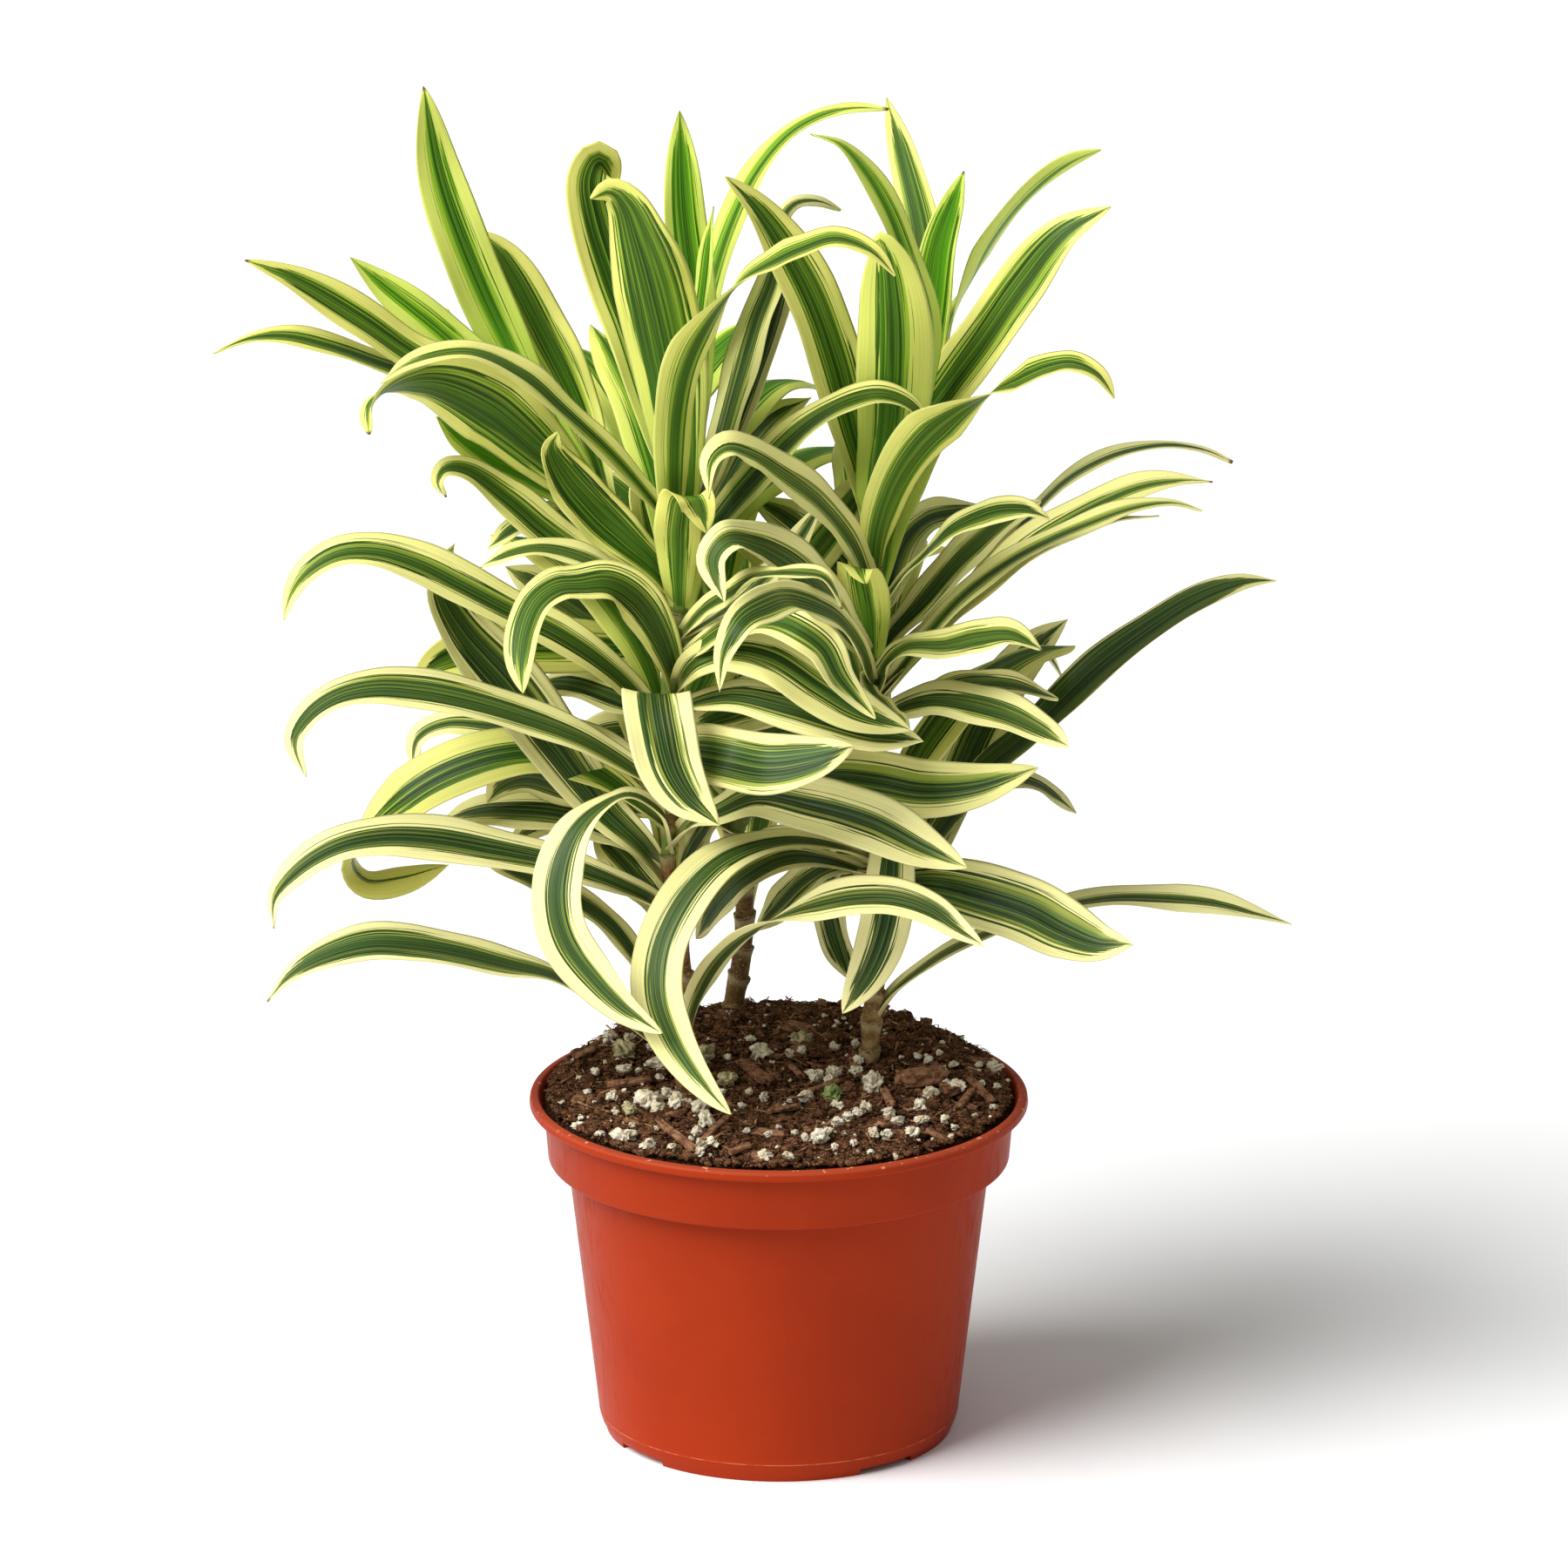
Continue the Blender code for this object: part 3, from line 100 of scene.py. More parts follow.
# %% The courses of the canes
# Each stem: picture x, picture y, depth and radius in millimetres, from the soil to its tip.
STEMS = {
    "left_stem": (
        (785, 1250, -9, 3.1), (787, 1190, -9, 2.7), (787, 1120, -9, 2.3), (776, 1050, -10, 2.3),
        (767, 1000, -11, 2.2), (767, 960, -12, 2.3), (769, 905, -13, 2.6), (767, 860, -14, 2.7),
        (768, 800, -15, 2.8), (775, 735, -16, 3.1), (780, 690, -16, 3.1), (784, 620, -16, 2.9),
        (786, 560, -16, 2.4),
    ),
    "right_stem": (
        (998, 1232, 7, 3.1), (1001, 1165, 6, 3.1), (1008, 1110, 5, 2.9), (1012, 1050, 5, 2.8),
        (1008, 980, 4, 2.8), (1003, 900, 4, 2.8), (1000, 830, 3, 2.9), (1000, 765, 2, 3.1),
        (1001, 700, 1, 3.1), (1003, 620, 0, 2.8), (1012, 560, 0, 2.4),
    ),
    "back_stem": (
        (842, 1154, 52, 3.4), (849, 1116, 51, 3.3), (855, 1049, 50, 3.1), (850, 1000, 49, 3.1),
        (842, 956, 47, 3.2), (853, 931, 46, 3.3), (850, 860, 43, 3.2), (835, 790, 38, 3.1),
        (805, 715, 31, 3.1), (765, 650, 24, 3.0), (725, 600, 18, 2.9), (690, 565, 15, 2.4),
    ),
}

# %% [markdown]
# ## The leaves, traced one by one
# A dracaena's blades arch, fold and cross in ways that no rule repeats, so the visible ones are
# rows in a table, as a botanist would note them. Each row says which cane it grows on, how far
# away its tip is, how wide and old it is, how its face turns, and its course in the picture.

# %% The table of leaves
# Each leaf: stem, depth of the tip, width, age from 0 to 1, facing and course. Facing lists
# the turn of the upper face from root to tip: 0 looks at the viewer, 90 is edge on and 180
# shows the underside. One number instead is the slope of a blade that comes forward and folds
# over. The course is picture x and y from the stem outwards, with a depth where it is known.
# A row may end with looks of its own: age of the colours, dullness of the underside, and where
# the margin starts at the base and at the tip.
LEAVES = (
    # Upper left crown, carried mostly by the back stem.
    ("back_stem", 25, 17, 0.1, (20, 12, 15),
     ((692, 572), (640, 500), (586, 403), (543, 310), (505, 203), (486, 99)), (0.15, 0.50, 0.46, 0.42)),
    ("back_stem", 48, 18, 0.5, (20, 15, 20),
     ((700, 580), (664, 470), (621, 381), (572, 290), (548, 263)), (0.50, 0.50, 0.50, 0.56)),
    ("back_stem", 5, 17, 0.4, (45, 42, 40),
     ((690, 575), (600, 480), (520, 430), (471, 406), (414, 367), (343, 324), (281, 299)),
     (0.45, 0.40, 0.58, 0.52)),
    ("back_stem", 22, 14, 0.1, (30, 20, 25),
     ((690, 570), (590, 462), (511, 386), (443, 331), (401, 295)), (0.05, 0.30, 0.46, 0.46)),
    ("back_stem", 26, 5, 0.0, (40, 50, 50), ((690, 572), (600, 460), (527, 392), (513, 354))),
    ("back_stem", -4, 15, 0.5, (60, 60, 62),
     ((694, 580), (600, 510), (520, 458), (471, 431), (432, 417), (379, 399), (329, 387),
      (289, 389), (245, 406))),
    ("left_stem", -40, 15, 0.6, (40, 58, 60),
     ((782, 625), (757, 587), (700, 521), (646, 471), (600, 431), (539, 405), (471, 417),
      (437, 440)), (0.60, 0.30, 0.50, 0.36)),
    ("back_stem", -14, 27, 0.4, (160, 165, 160, 120, 50),
     ((706, 585), (664, 560), (621, 519), (557, 466), (496, 441), (450, 446), (426, 465),
      (424, 499)), (0.48, 0.40, 0.64, 0.70)),
    ("back_stem", 18, 14, 0.0, (30, 35, 35), ((700, 590), (625, 556), (557, 522), (500, 478))),
    ("left_stem", -30, 17, 0.5, (15, 15, 40),
     ((778, 690), (751, 651), (715, 618), (680, 585), (650, 550), (632, 515), (640, 496)),
     (0.50, 0.60, 0.78, 0.66)),
    ("left_stem", 0, 15, 0.6, (35, 30, 60),
     ((777, 735), (735, 690), (690, 652), (630, 612), (584, 573), (537, 541), (512, 539),
      (503, 553), (512, 571)), (0.60, 0.50, 0.60, 0.56)),
    # Upper middle crown, the top of the left stem.
    ("left_stem", 22, 20, 0.3, (25, 15, 15, 25),
     ((784, 600), (762, 512), (744, 440), (726, 372), (704, 310), (685, 250, 6), (678, 208, 8),
      (686, 187, 12), (697, 196, 18), (706, 222, 22)), (0.40, 0.40, 0.50, 0.54)),
    ("left_stem", -34, 25, 0.2, (176, 172, 168, 130),
     ((785, 620), (777, 500), (769, 430), (753, 350), (734, 280), (717, 234), (700, 220),
      (678, 228)), (0.36, 0.55, 0.66, 0.74)),
    ("left_stem", -2, 14, 0.0, (20, 10, 10), ((788, 580), (798, 430), (795, 330), (785, 240), (780, 126)),
     (0.00, 0.20, 0.60, 0.66)),
    ("left_stem", -4, 8, 0.0, (40, 50, 50), ((790, 590), (800, 450), (803, 370), (819, 237))),
    ("left_stem", 16, 15, 0.4, (35, 40, 60, 65),
     ((788, 610), (786, 470), (809, 366), (822, 312), (843, 251), (870, 198), (906, 155),
      (941, 134), (977, 125), (1020, 126)), (0.20, 0.20, 0.46, 0.46)),
    ("left_stem", -62, 20, 0.6, (155, 148, 120, 62, 60),
     ((784, 650), (774, 562), (777, 473), (791, 412), (820, 359), (852, 323), (884, 304),
      (920, 287), (960, 275), (1000, 289), (1027, 317)), (0.42, 0.30, 0.50, 0.56)),
    ("left_stem", 30, 15, 0.7, (40, 45, 40),
     ((790, 620), (820, 540), (849, 437), (870, 366), (889, 309), (884, 272))),
    ("left_stem", 46, 13, 0.8, (45, 40, 60),
     ((792, 630), (860, 450), (897, 330), (898, 255), (914, 234), (940, 232), (965, 242))),
    # Upper right crown, mostly the top of the right stem, and the leaves in front of it.
    ("right_stem", 66, 14, 0.3, (25, 20, 20),
     ((1006, 600), (1040, 450), (1060, 340), (1059, 270), (1039, 185), (1018, 112)),
     (0.55, 0.30, 0.62, 0.62)),
    ("right_stem", -8, 14, 0.3, (40, 48, 55),
     ((1006, 605), (1045, 500), (1062, 401), (1056, 351), (1039, 294), (1018, 241), (993, 198),
      (964, 166), (930, 154)), (0.08, 0.10, 0.46, 0.46)),
    ("right_stem", 4, 13, 0.1, (25, 15, 15),
     ((1012, 590), (1052, 470), (1068, 360), (1079, 280), (1095, 230), (1107, 196)),
     (0.00, 0.20, 0.84, 0.80)),
    ("right_stem", 2, 6, 0.0, (40, 50, 50), ((1012, 585), (1050, 450), (1068, 360), (1079, 298))),
    ("right_stem", -24, 24, 0.2, (176, 172, 165),
     ((1003, 650), (1008, 560), (1020, 500), (1026, 420), (1025, 350), (1018, 296), (1010, 276),
      (1000, 282)), (0.24, 0.45, 0.46, 0.44)),
    ("right_stem", 14, 15, 0.3, (30, 45, 108, 125),
     ((1010, 620), (1060, 470), (1093, 366), (1114, 323), (1136, 280), (1168, 237), (1204, 203),
      (1232, 184), (1264, 171)), (0.05, 0.00, 0.34, 0.30)),
    ("right_stem", -8, 18, 0.3, (35, 25, 25),
     ((1008, 640), (1040, 540), (1064, 480), (1088, 446), (1129, 391), (1171, 330), (1221, 269),
      (1275, 237)), (0.52, 0.20, 0.56, 0.66)),
    ("right_stem", -58, 21, 0.6, (160, 152, 135, 65, 60),
     ((1003, 690), (1007, 616), (1027, 555), (1060, 507), (1100, 473), (1135, 453), (1165, 440),
      (1204, 423), (1232, 419), (1260, 432), (1279, 458)), (0.50, 0.50, 0.56, 0.60)),
    ("right_stem", -4, 19, 0.5, (30, 22, 25, 40),
     ((1003, 660), (995, 562), (977, 491), (959, 419), (934, 348), (906, 294), (870, 241),
      (832, 203)), (0.50, 0.20, 0.56, 0.56)),
    ("left_stem", -46, 17, 0.6, (35, 40, 62, 62),
     ((782, 690), (806, 630), (834, 587), (884, 530), (934, 484), (977, 461), (1013, 455),
      (1045, 467), (1063, 492), (1063, 525)), (0.60, 0.60, 0.60, 0.66)),
    ("left_stem", 36, 15, 0.8, (45, 45, 50), ((784, 660), (825, 580), (856, 519), (888, 480), (931, 457))),
    # The middle and the long arches in front.
    ("right_stem", -58, 17, 0.7, (50, 45, 50, 60),
     ((1002, 705), (992, 655), (974, 616), (939, 576), (896, 544), (860, 522), (834, 516),
      (818, 530), (814, 573))),
    ("left_stem", -36, 15, 0.4, 0.0,
     ((781, 722), (779, 680), (778, 640, -24), (779, 600, -29), (786, 572, -33), (799, 574, -37),
      (806, 590), (812, 612))),
    ("right_stem", -30, 16, 0.3, -14.0,
     ((1000, 775), (999, 740, -3), (994, 700, -10), (988, 668, -17), (985, 653, -21), (987, 656, -26),
      (994, 672))),
    ("left_stem", -58, 19, 0.7, (5, 10, 25, 60, 45, 35),
     ((777, 798), (770, 764), (753, 722), (728, 688), (699, 672), (668, 674), (640, 676),
      (618, 692), (605, 720), (599, 757), (600, 796)), (0.62, 0.50, 0.76, 0.62)),
    ("left_stem", -24, 18, 0.8, (35, 42, 50),
     ((770, 885), (762, 850), (726, 794), (691, 762), (637, 726), (584, 701), (530, 673),
      (480, 648), (430, 634), (387, 637), (351, 659), (334, 684), (325, 712)), (0.66, 0.60, 0.62, 0.50)),
    ("left_stem", -26, 18, 0.8, (40, 45, 55),
     ((768, 930), (755, 905), (726, 884), (673, 851), (601, 823), (537, 805), (480, 794),
      (430, 791), (387, 801), (355, 823), (339, 851), (351, 892))),
    ("left_stem", -18, 19, 0.9, (45, 42, 55),
     ((776, 1072), (755, 1041), (709, 1016), (637, 991), (566, 977), (494, 965), (441, 963),
      (387, 974), (344, 999), (316, 1031), (314, 1066))),
    ("left_stem", -30, 17, 0.9, (45, 72, 45, 45),
     ((785, 1240), (774, 1221), (744, 1191), (709, 1163), (666, 1138), (630, 1120), (584, 1109),
      (530, 1095), (476, 1086), (423, 1084), (369, 1099), (334, 1120), (307, 1150)),
     (0.92, 0.60, 0.78, 0.60)),
    ("left_stem", -58, 17, 0.8, (60, 70, 20, 20, 25),
     ((769, 975), (758, 935), (723, 913), (688, 928), (660, 957), (644, 998), (641, 1038),
      (652, 1080), (684, 1124), (716, 1156), (760, 1186)), (0.84, 0.50, 0.50, 0.44)),
    ("right_stem", -66, 17, 0.9, (55, 50, 20, 15, 20),
     ((1004, 992), (964, 974), (910, 965), (860, 974), (821, 994), (785, 1034), (760, 1088),
      (756, 1141), (771, 1188), (792, 1224), (814, 1252), (839, 1279)), (0.78, 0.60, 0.50, 0.36)),
    ("left_stem", -76, 21.5, 0.8, -4.0,
     ((768, 872), (762, 838, -26), (754, 803, -42), (753, 800, -53), (759, 836, -62), (771, 884, -67),
      (792, 918, -71), (826, 948))),
    ("left_stem", -66, 21, 0.8, (30, 25, 20),
     ((769, 880), (776, 868, -38), (800, 866, -50), (835, 872, -58), (880, 880), (930, 873), (980, 857)),
     (0.76, 0.60, 0.66, 0.74)),
    ("left_stem", -60, 20, 0.8, (60, 35, 20, 20),
     ((772, 972), (795, 945), (826, 932), (870, 915), (930, 925), (1000, 945), (1060, 975),
      (1110, 996))),
    ("back_stem", -38, 20, 0.7, (50, 40, 15, 15),
     ((851, 925), (905, 905, 18), (960, 893, -12), (1010, 898, -26), (1060, 907, -32), (1120, 903),
      (1192, 881))),
    # The cluster between the stems.
    ("left_stem", -74, 18, 0.7, (30, 20, 20),
     ((777, 790), (800, 760, -36), (840, 747, -52), (888, 757, -62), (939, 790), (985, 818),
      (1045, 838))),
    ("left_stem", -84, 14, 0.7, (40, 45, 30, 20),
     ((778, 764), (830, 724, -40), (878, 712, -58), (915, 722, -75), (945, 744), (963, 777),
      (985, 803), (1005, 825))),
    ("right_stem", -98, 15, 0.7, (60, 62, 60, 30, 15),
     ((1000, 790), (987, 745, -20), (957, 708, -34), (915, 690, -50), (880, 696, -80),
      (850, 714, -92), (831, 750), (826, 794))),
    ("left_stem", -71, 13, 0.7, (40, 45, 78, 55),
     ((780, 735), (805, 703, -28), (838, 682, -45), (882, 660, -58), (922, 659), (946, 664),
      (959, 681), (967, 699))),
    ("right_stem", -58, 18, 0.8, (40, 30, 30, 50, 40),
     ((1001, 765), (970, 718, -14), (942, 680, -24), (905, 645, -34), (865, 625, -44), (834, 622, -52),
      (819, 642), (832, 692))),
    ("left_stem", -22, 9, 0.9, (35, 35, 30), ((780, 735), (850, 690, -17), (907, 635), (945, 575))),
    ("left_stem", 12, 17, 0.6, (150, 158, 160),
     ((782, 745), (850, 695, -4), (915, 652), (955, 606), (988, 562), (1008, 536))),
    ("right_stem", -52, 19, 0.7, (40, 22, 20),
     ((1001, 842), (968, 815, -16), (925, 803, -30), (875, 806, -42), (830, 822), (788, 838))),
    ("left_stem", -54, 16, 0.8, (50, 30, 22, 20),
     ((775, 815), (840, 800, -32), (903, 812, -42), (950, 826), (1000, 841), (1060, 851))),
    ("right_stem", -50, 9, 0.7, (50, 50, 45),
     ((1001, 776), (995, 782, -14), (1003, 799, -26), (1020, 818, -38), (1044, 838))),
    ("back_stem", 8, 13, 0.9, (50, 50, 45), ((851, 905), (862, 856, 34), (900, 838), (962, 848))),
    ("left_stem", 6, 14, 0.5, (35, 30, 30), ((777, 715), (758, 655), (748, 610), (742, 560), (748, 515))),
    # Left side, further back.
    ("left_stem", -8, 13, 0.7, (50, 56, 60),
     ((777, 745), (740, 692), (701, 657), (655, 636), (620, 630), (584, 637), (551, 651))),
    ("back_stem", 8, 14, 0.7, (45, 50, 55),
     ((760, 640), (722, 630), (687, 612), (648, 595), (600, 603), (560, 630))),
    ("left_stem", -13, 21, 0.8, (15, 12, 15, 60),
     ((772, 1020), (740, 975), (691, 926), (637, 855), (584, 784), (530, 723), (506, 678),
      (511, 642), (522, 624)), (0.78, 0.00, 0.56, 0.66)),
    ("back_stem", 30, 17, 0.8, (150, 158, 160), ((835, 790), (770, 745), (700, 722), (640, 685), (580, 650))),
    ("back_stem", 2, 19, 0.5, (20, 15, 15),
     ((822, 752), (760, 745), (700, 744), (640, 742), (560, 745), (505, 762), (472, 786))),
    ("left_stem", 10, 14, 0.8, (50, 45, 45), ((769, 860), (740, 820), (691, 797), (650, 786), (606, 786))),
    ("left_stem", 6, 14, 0.8, (40, 45, 50),
     ((769, 905), (700, 858), (640, 838), (566, 834), (512, 832), (480, 848), (474, 887))),
    ("left_stem", -6, 21, 0.4, (40, 28, 30, 35, 110, 155),
     ((768, 955), (700, 897), (650, 873), (612, 865), (560, 872), (500, 895), (450, 930),
      (417, 962), (404, 990), (420, 1011), (462, 1008), (515, 993)), (0.52, 0.10, 0.70, 0.12)),
    ("left_stem", 4, 15, 0.8, (150, 150, 150),
     ((769, 945), (744, 929), (700, 918), (655, 906), (605, 893), (577, 902), (559, 921))),
    ("left_stem", 8, 17, 0.8, (45, 42, 40),
     ((771, 1010), (755, 989), (709, 959), (655, 938), (566, 931), (509, 941))),
    ("left_stem", 14, 13, 0.9, (50, 52, 50),
     ((787, 1160), (748, 1126), (701, 1063), (655, 1032), (619, 1014), (559, 991))),
    ("left_stem", 22, 15, 0.8, (30, 30, 30), ((781, 1085), (752, 1035), (722, 998), (683, 958))),
    # Right side.
    ("right_stem", 22, 13, 0.8, (40, 60, 70, 70, 68),
     ((1001, 792), (1040, 745), (1100, 690), (1155, 630), (1192, 584), (1231, 548), (1281, 523),
      (1339, 512), (1381, 517), (1415, 531)), (0.80, 0.20, 0.50, 0.42)),
    ("right_stem", 2, 18, 0.7, (30, 50, 58, 58, 60),
     ((1001, 800), (1045, 752), (1095, 700), (1139, 662), (1174, 632), (1224, 600), (1267, 577),
      (1310, 560), (1353, 553), (1392, 553)), (0.70, 0.30, 0.52, 0.36)),
    ("right_stem", -16, 15, 0.7, (30, 55, 66, 66, 66),
     ((1001, 812), (1030, 775), (1067, 728), (1110, 682), (1160, 646), (1210, 619), (1253, 601),
      (1299, 585), (1346, 578), (1380, 586)), (0.70, 0.30, 0.50, 0.34)),
    ("right_stem", 34, 11, 0.8, (55, 66, 70),
     ((1002, 820), (1070, 735), (1130, 680), (1200, 630), (1270, 600), (1331, 592))),
    ("right_stem", -36, 14, 0.7, (76, 80, 78, 48, 45),
     ((1001, 742), (1021, 685), (1060, 640), (1090, 612), (1120, 596), (1150, 587), (1180, 587),
      (1207, 597))),
    ("right_stem", 34, 17, 0.9, (35, 30, 50, 55),
     ((1001, 730), (1022, 670), (1040, 622), (1065, 597), (1100, 588), (1138, 582))),
    ("right_stem", 18, 15, 0.8, (40, 42, 45),
     ((1001, 775), (1020, 736), (1062, 690), (1105, 640), (1150, 601), (1195, 575))),
    ("right_stem", 40, 17, 0.8, (50, 54, 52, 50),
     ((1012, 1060), (1050, 1000), (1095, 935), (1139, 880), (1174, 851), (1217, 809), (1264, 765),
      (1317, 725), (1371, 690), (1424, 670), (1465, 667)), (0.80, 0.20, 0.90, 0.94)),
    ("right_stem", 62, 20, 0.9, (30, 28, 30, 40),
     ((1012, 1075), (1060, 985), (1095, 905), (1125, 838), (1160, 778), (1192, 740), (1226, 711)),
     (0.85, 0.40, 0.62, 0.60)),
    ("right_stem", 72, 10, 0.9, (45, 50, 60),
     ((1010, 1010), (1060, 900), (1120, 800), (1165, 752), (1195, 747), (1224, 786))),
    ("right_stem", -52, 17, 0.7, (35, 70, 50, 50),
     ((1001, 815), (1014, 772, -14), (1042, 744, -28), (1085, 742), (1125, 733), (1160, 731),
      (1197, 747))),
    ("right_stem", -6, 14, 0.8, (50, 55, 60),
     ((1002, 842), (1040, 812), (1074, 797), (1121, 785), (1160, 787), (1215, 803))),
    ("right_stem", -52, 17, 0.8, (45, 42, 38),
     ((1002, 855), (1024, 820), (1067, 805), (1121, 811), (1160, 823), (1192, 838), (1227, 858))),
    ("right_stem", 26, 13, 0.9, (50, 55, 62),
     ((1008, 985), (1050, 935), (1110, 905), (1160, 895), (1190, 901), (1212, 915), (1235, 934))),
    # Lower right.
    ("left_stem", -72, 16, 0.9, (150, 140, 110, 50, 30, 25),
     ((787, 1200), (798, 1150, -18), (828, 1099, -30), (870, 1066, -40), (910, 1048), (945, 1038),
      (985, 1031), (1030, 1032), (1070, 1046), (1100, 1067), (1130, 1087)), (0.86, 0.50, 0.46, 0.54)),
    ("right_stem", -48, 22, 0.8, (30, 18, 15, 20),
     ((1010, 1020), (1040, 1016, -16), (1080, 1018, -26), (1120, 1028), (1180, 1047), (1220, 1068),
      (1260, 1083), (1300, 1084)), (0.80, 0.60, 0.62, 0.66)),
    ("right_stem", -6, 14, 0.9, (60, 62, 72, 50, 48),
     ((1002, 1178), (1026, 1141), (1058, 1113), (1090, 1092), (1136, 1072), (1180, 1052),
      (1226, 1040), (1279, 1032), (1330, 1032), (1390, 1037), (1440, 1049), (1483, 1061)),
     (0.88, 0.20, 0.44, 0.36)),
    ("right_stem", -32, 16, 0.9, 8.0,
     ((1006, 945), (1016, 938, -12), (1023, 960, -20), (1022, 1010, -25), (1016, 1060, -29),
      (998, 1112), (967, 1163))),
    ("right_stem", 18, 13, 0.9, (50, 40, 30),
     ((1006, 955), (975, 975, 14), (950, 1010), (955, 1060), (977, 1128))),
    ("right_stem", 22, 13, 0.9, (40, 35, 40),
     ((1008, 1000), (960, 994, 14), (925, 1010), (895, 1040), (868, 1068))),
    ("right_stem", 6, 13, 0.9, (50, 45, 40),
     ((1007, 1008), (950, 988, 0), (900, 986, -8), (860, 1006, -8), (828, 1035), (800, 1078))),
    ("back_stem", 14, 16, 0.9, (150, 150, 150),
     ((852, 985), (884, 968), (925, 975), (962, 1000), (995, 1034))),
    ("left_stem", -30, 12, 0.8, (50, 45, 45), ((774, 1045), (788, 990), (810, 952), (838, 922))),
    ("back_stem", 30, 17, 0.9, (35, 30, 35), ((853, 940), (822, 885), (770, 850), (700, 842), (640, 862))),
    ("back_stem", 24, 17, 0.9, (35, 30, 35), ((850, 960), (800, 925), (730, 905), (650, 930), (585, 968))),
    # Behind the cluster, where the stems stand close.
    ("left_stem", 18, 15, 0.9, (30, 30, 30), ((780, 760), (830, 720), (885, 672), (935, 622), (980, 575))),
    ("right_stem", 34, 16, 0.9, (35, 30, 30), ((1001, 720), (975, 668), (940, 625), (900, 592), (862, 572))),
    ("back_stem", 22, 15, 0.9, (40, 35, 35), ((856, 880), (845, 830), (852, 780), (882, 735), (925, 705))),
)

# %% [markdown]
# ## The leaves at the back
# Nobody sees those in the photograph, so a seeded rule grows them: a new leaf turns by the golden
# angle from the last one, which is how a dracaena spaces its leaves.

# %% The rule for the rear leaves
# The leaves that only show from behind: stem, how many at most, and where on the stem they grow.
REAR_LEAVES = (
    ("left_stem", 7, 0.42, 0.95),
    ("right_stem", 8, 0.40, 0.95),
    ("back_stem", 12, 0.34, 0.96),
)
REAR_SEED = 8
GOLDEN_ANGLE = radians(137.5)
REAR_SPREAD = radians(96)
REAR_START = radians(42)

# %% [markdown]
# ## Smooth courses
# A curve through given points should not overshoot where the points bunch up. A centripetal
# Catmull-Rom curve has that property, and reading it at even steps gives even quads later.

# %% Smooth lines through given points
def smooth_step(value):
    value = min(max(value, 0.0), 1.0)
    return value * value * (3 - 2 * value)


def mix(low, high, share):
    return low + (high - low) * share


def blend(first, second, start, stop, place):
    return first + (second - first) * ((place - start) / (stop - start))


def smooth_line(points, count):
    """A smooth curve through the points, read at count + 1 evenly spaced places."""
    points = [np.array(point, dtype=float) for point in points]
    ends = [2 * points[0] - points[1], *points, 2 * points[-1] - points[-2]]
    fine = []
    for before, start, stop, after in zip(ends, ends[1:], ends[2:], ends[3:]):
        lengths = [np.linalg.norm(b[:3] - a[:3]) ** 0.5 + 1e-6
                   for a, b in ((before, start), (start, stop), (stop, after))]
        knots = np.cumsum([0.0, *lengths])
        for step in range(10):
            place = mix(knots[1], knots[2], step / 10)
            low = blend(before, start, knots[0], knots[1], place)
            middle = blend(start, stop, knots[1], knots[2], place)
            high = blend(stop, after, knots[2], knots[3], place)
            first = blend(low, middle, knots[0], knots[2], place)
            second = blend(middle, high, knots[1], knots[3], place)
            fine.append(blend(first, second, knots[1], knots[2], place))
    fine = np.array([*fine, points[-1]])
    along = np.concatenate([[0], np.cumsum(np.linalg.norm(np.diff(fine[:, :3], axis=0), axis=1))])
    places = np.linspace(0, along[-1], count + 1)
    return np.stack([np.interp(places, along, column) for column in fine.T], axis=1)


def frames(line):
    """Unit tangents along a line of points."""
    tangents = np.gradient(line[:, :3], axis=0)
    return tangents / np.linalg.norm(tangents, axis=1)[:, None]


# %% [markdown]
# ## Cane lines
# A cane starts in its hole in the soil and follows its course up to the tip.

# %% Lines of the canes
STEM_FOOT = 62.0
STEM_STEPS = 60


def stem_lines():
    """The centre line and radius of each stem, from its foot in the soil to its tip."""
    lines = {}
    for name, course in STEMS.items():
        points = [(*spot(x, y, depth), radius) for x, y, depth, radius in course]
        x, y, height, radius = points[0]
        foot = [(x, y, STEM_FOOT, radius), (x, y, (STEM_FOOT + height) / 2, radius)]
        lines[name] = smooth_line(foot + points, STEM_STEPS)
    return lines


stems = stem_lines()
print("canes:", {name: len(line) for name, line in stems.items()})

# %% [markdown]
# ## From a course to a blade
# A blade is a centre line with an across direction, an upper face and a half width at each point.
# A traced leaf turns its face towards or away from the viewer. A rear leaf leaves the cane steeply
# and bows down.

# %% Blade lines
ROOT_HALF = 1.2


def leaf_shape(share):
    """Width of a blade along its length, as a part of its greatest width."""
    if share < 0.56:
        return mix(0.42, 1.0, smooth_step(share / 0.56))
    return (1 - min((share - 0.56) / 0.44, 1.0) ** 3) ** 0.85


def spot_at_depth(point):
    """Where the line of sight through a point crosses the plane of the pot's axis."""
    eye = np.array(VIEW_AIM + VIEW_BACK * VIEW_DISTANCE)
    ray = point[:3] - eye
    return eye + ray * (-eye[1] / ray[1])


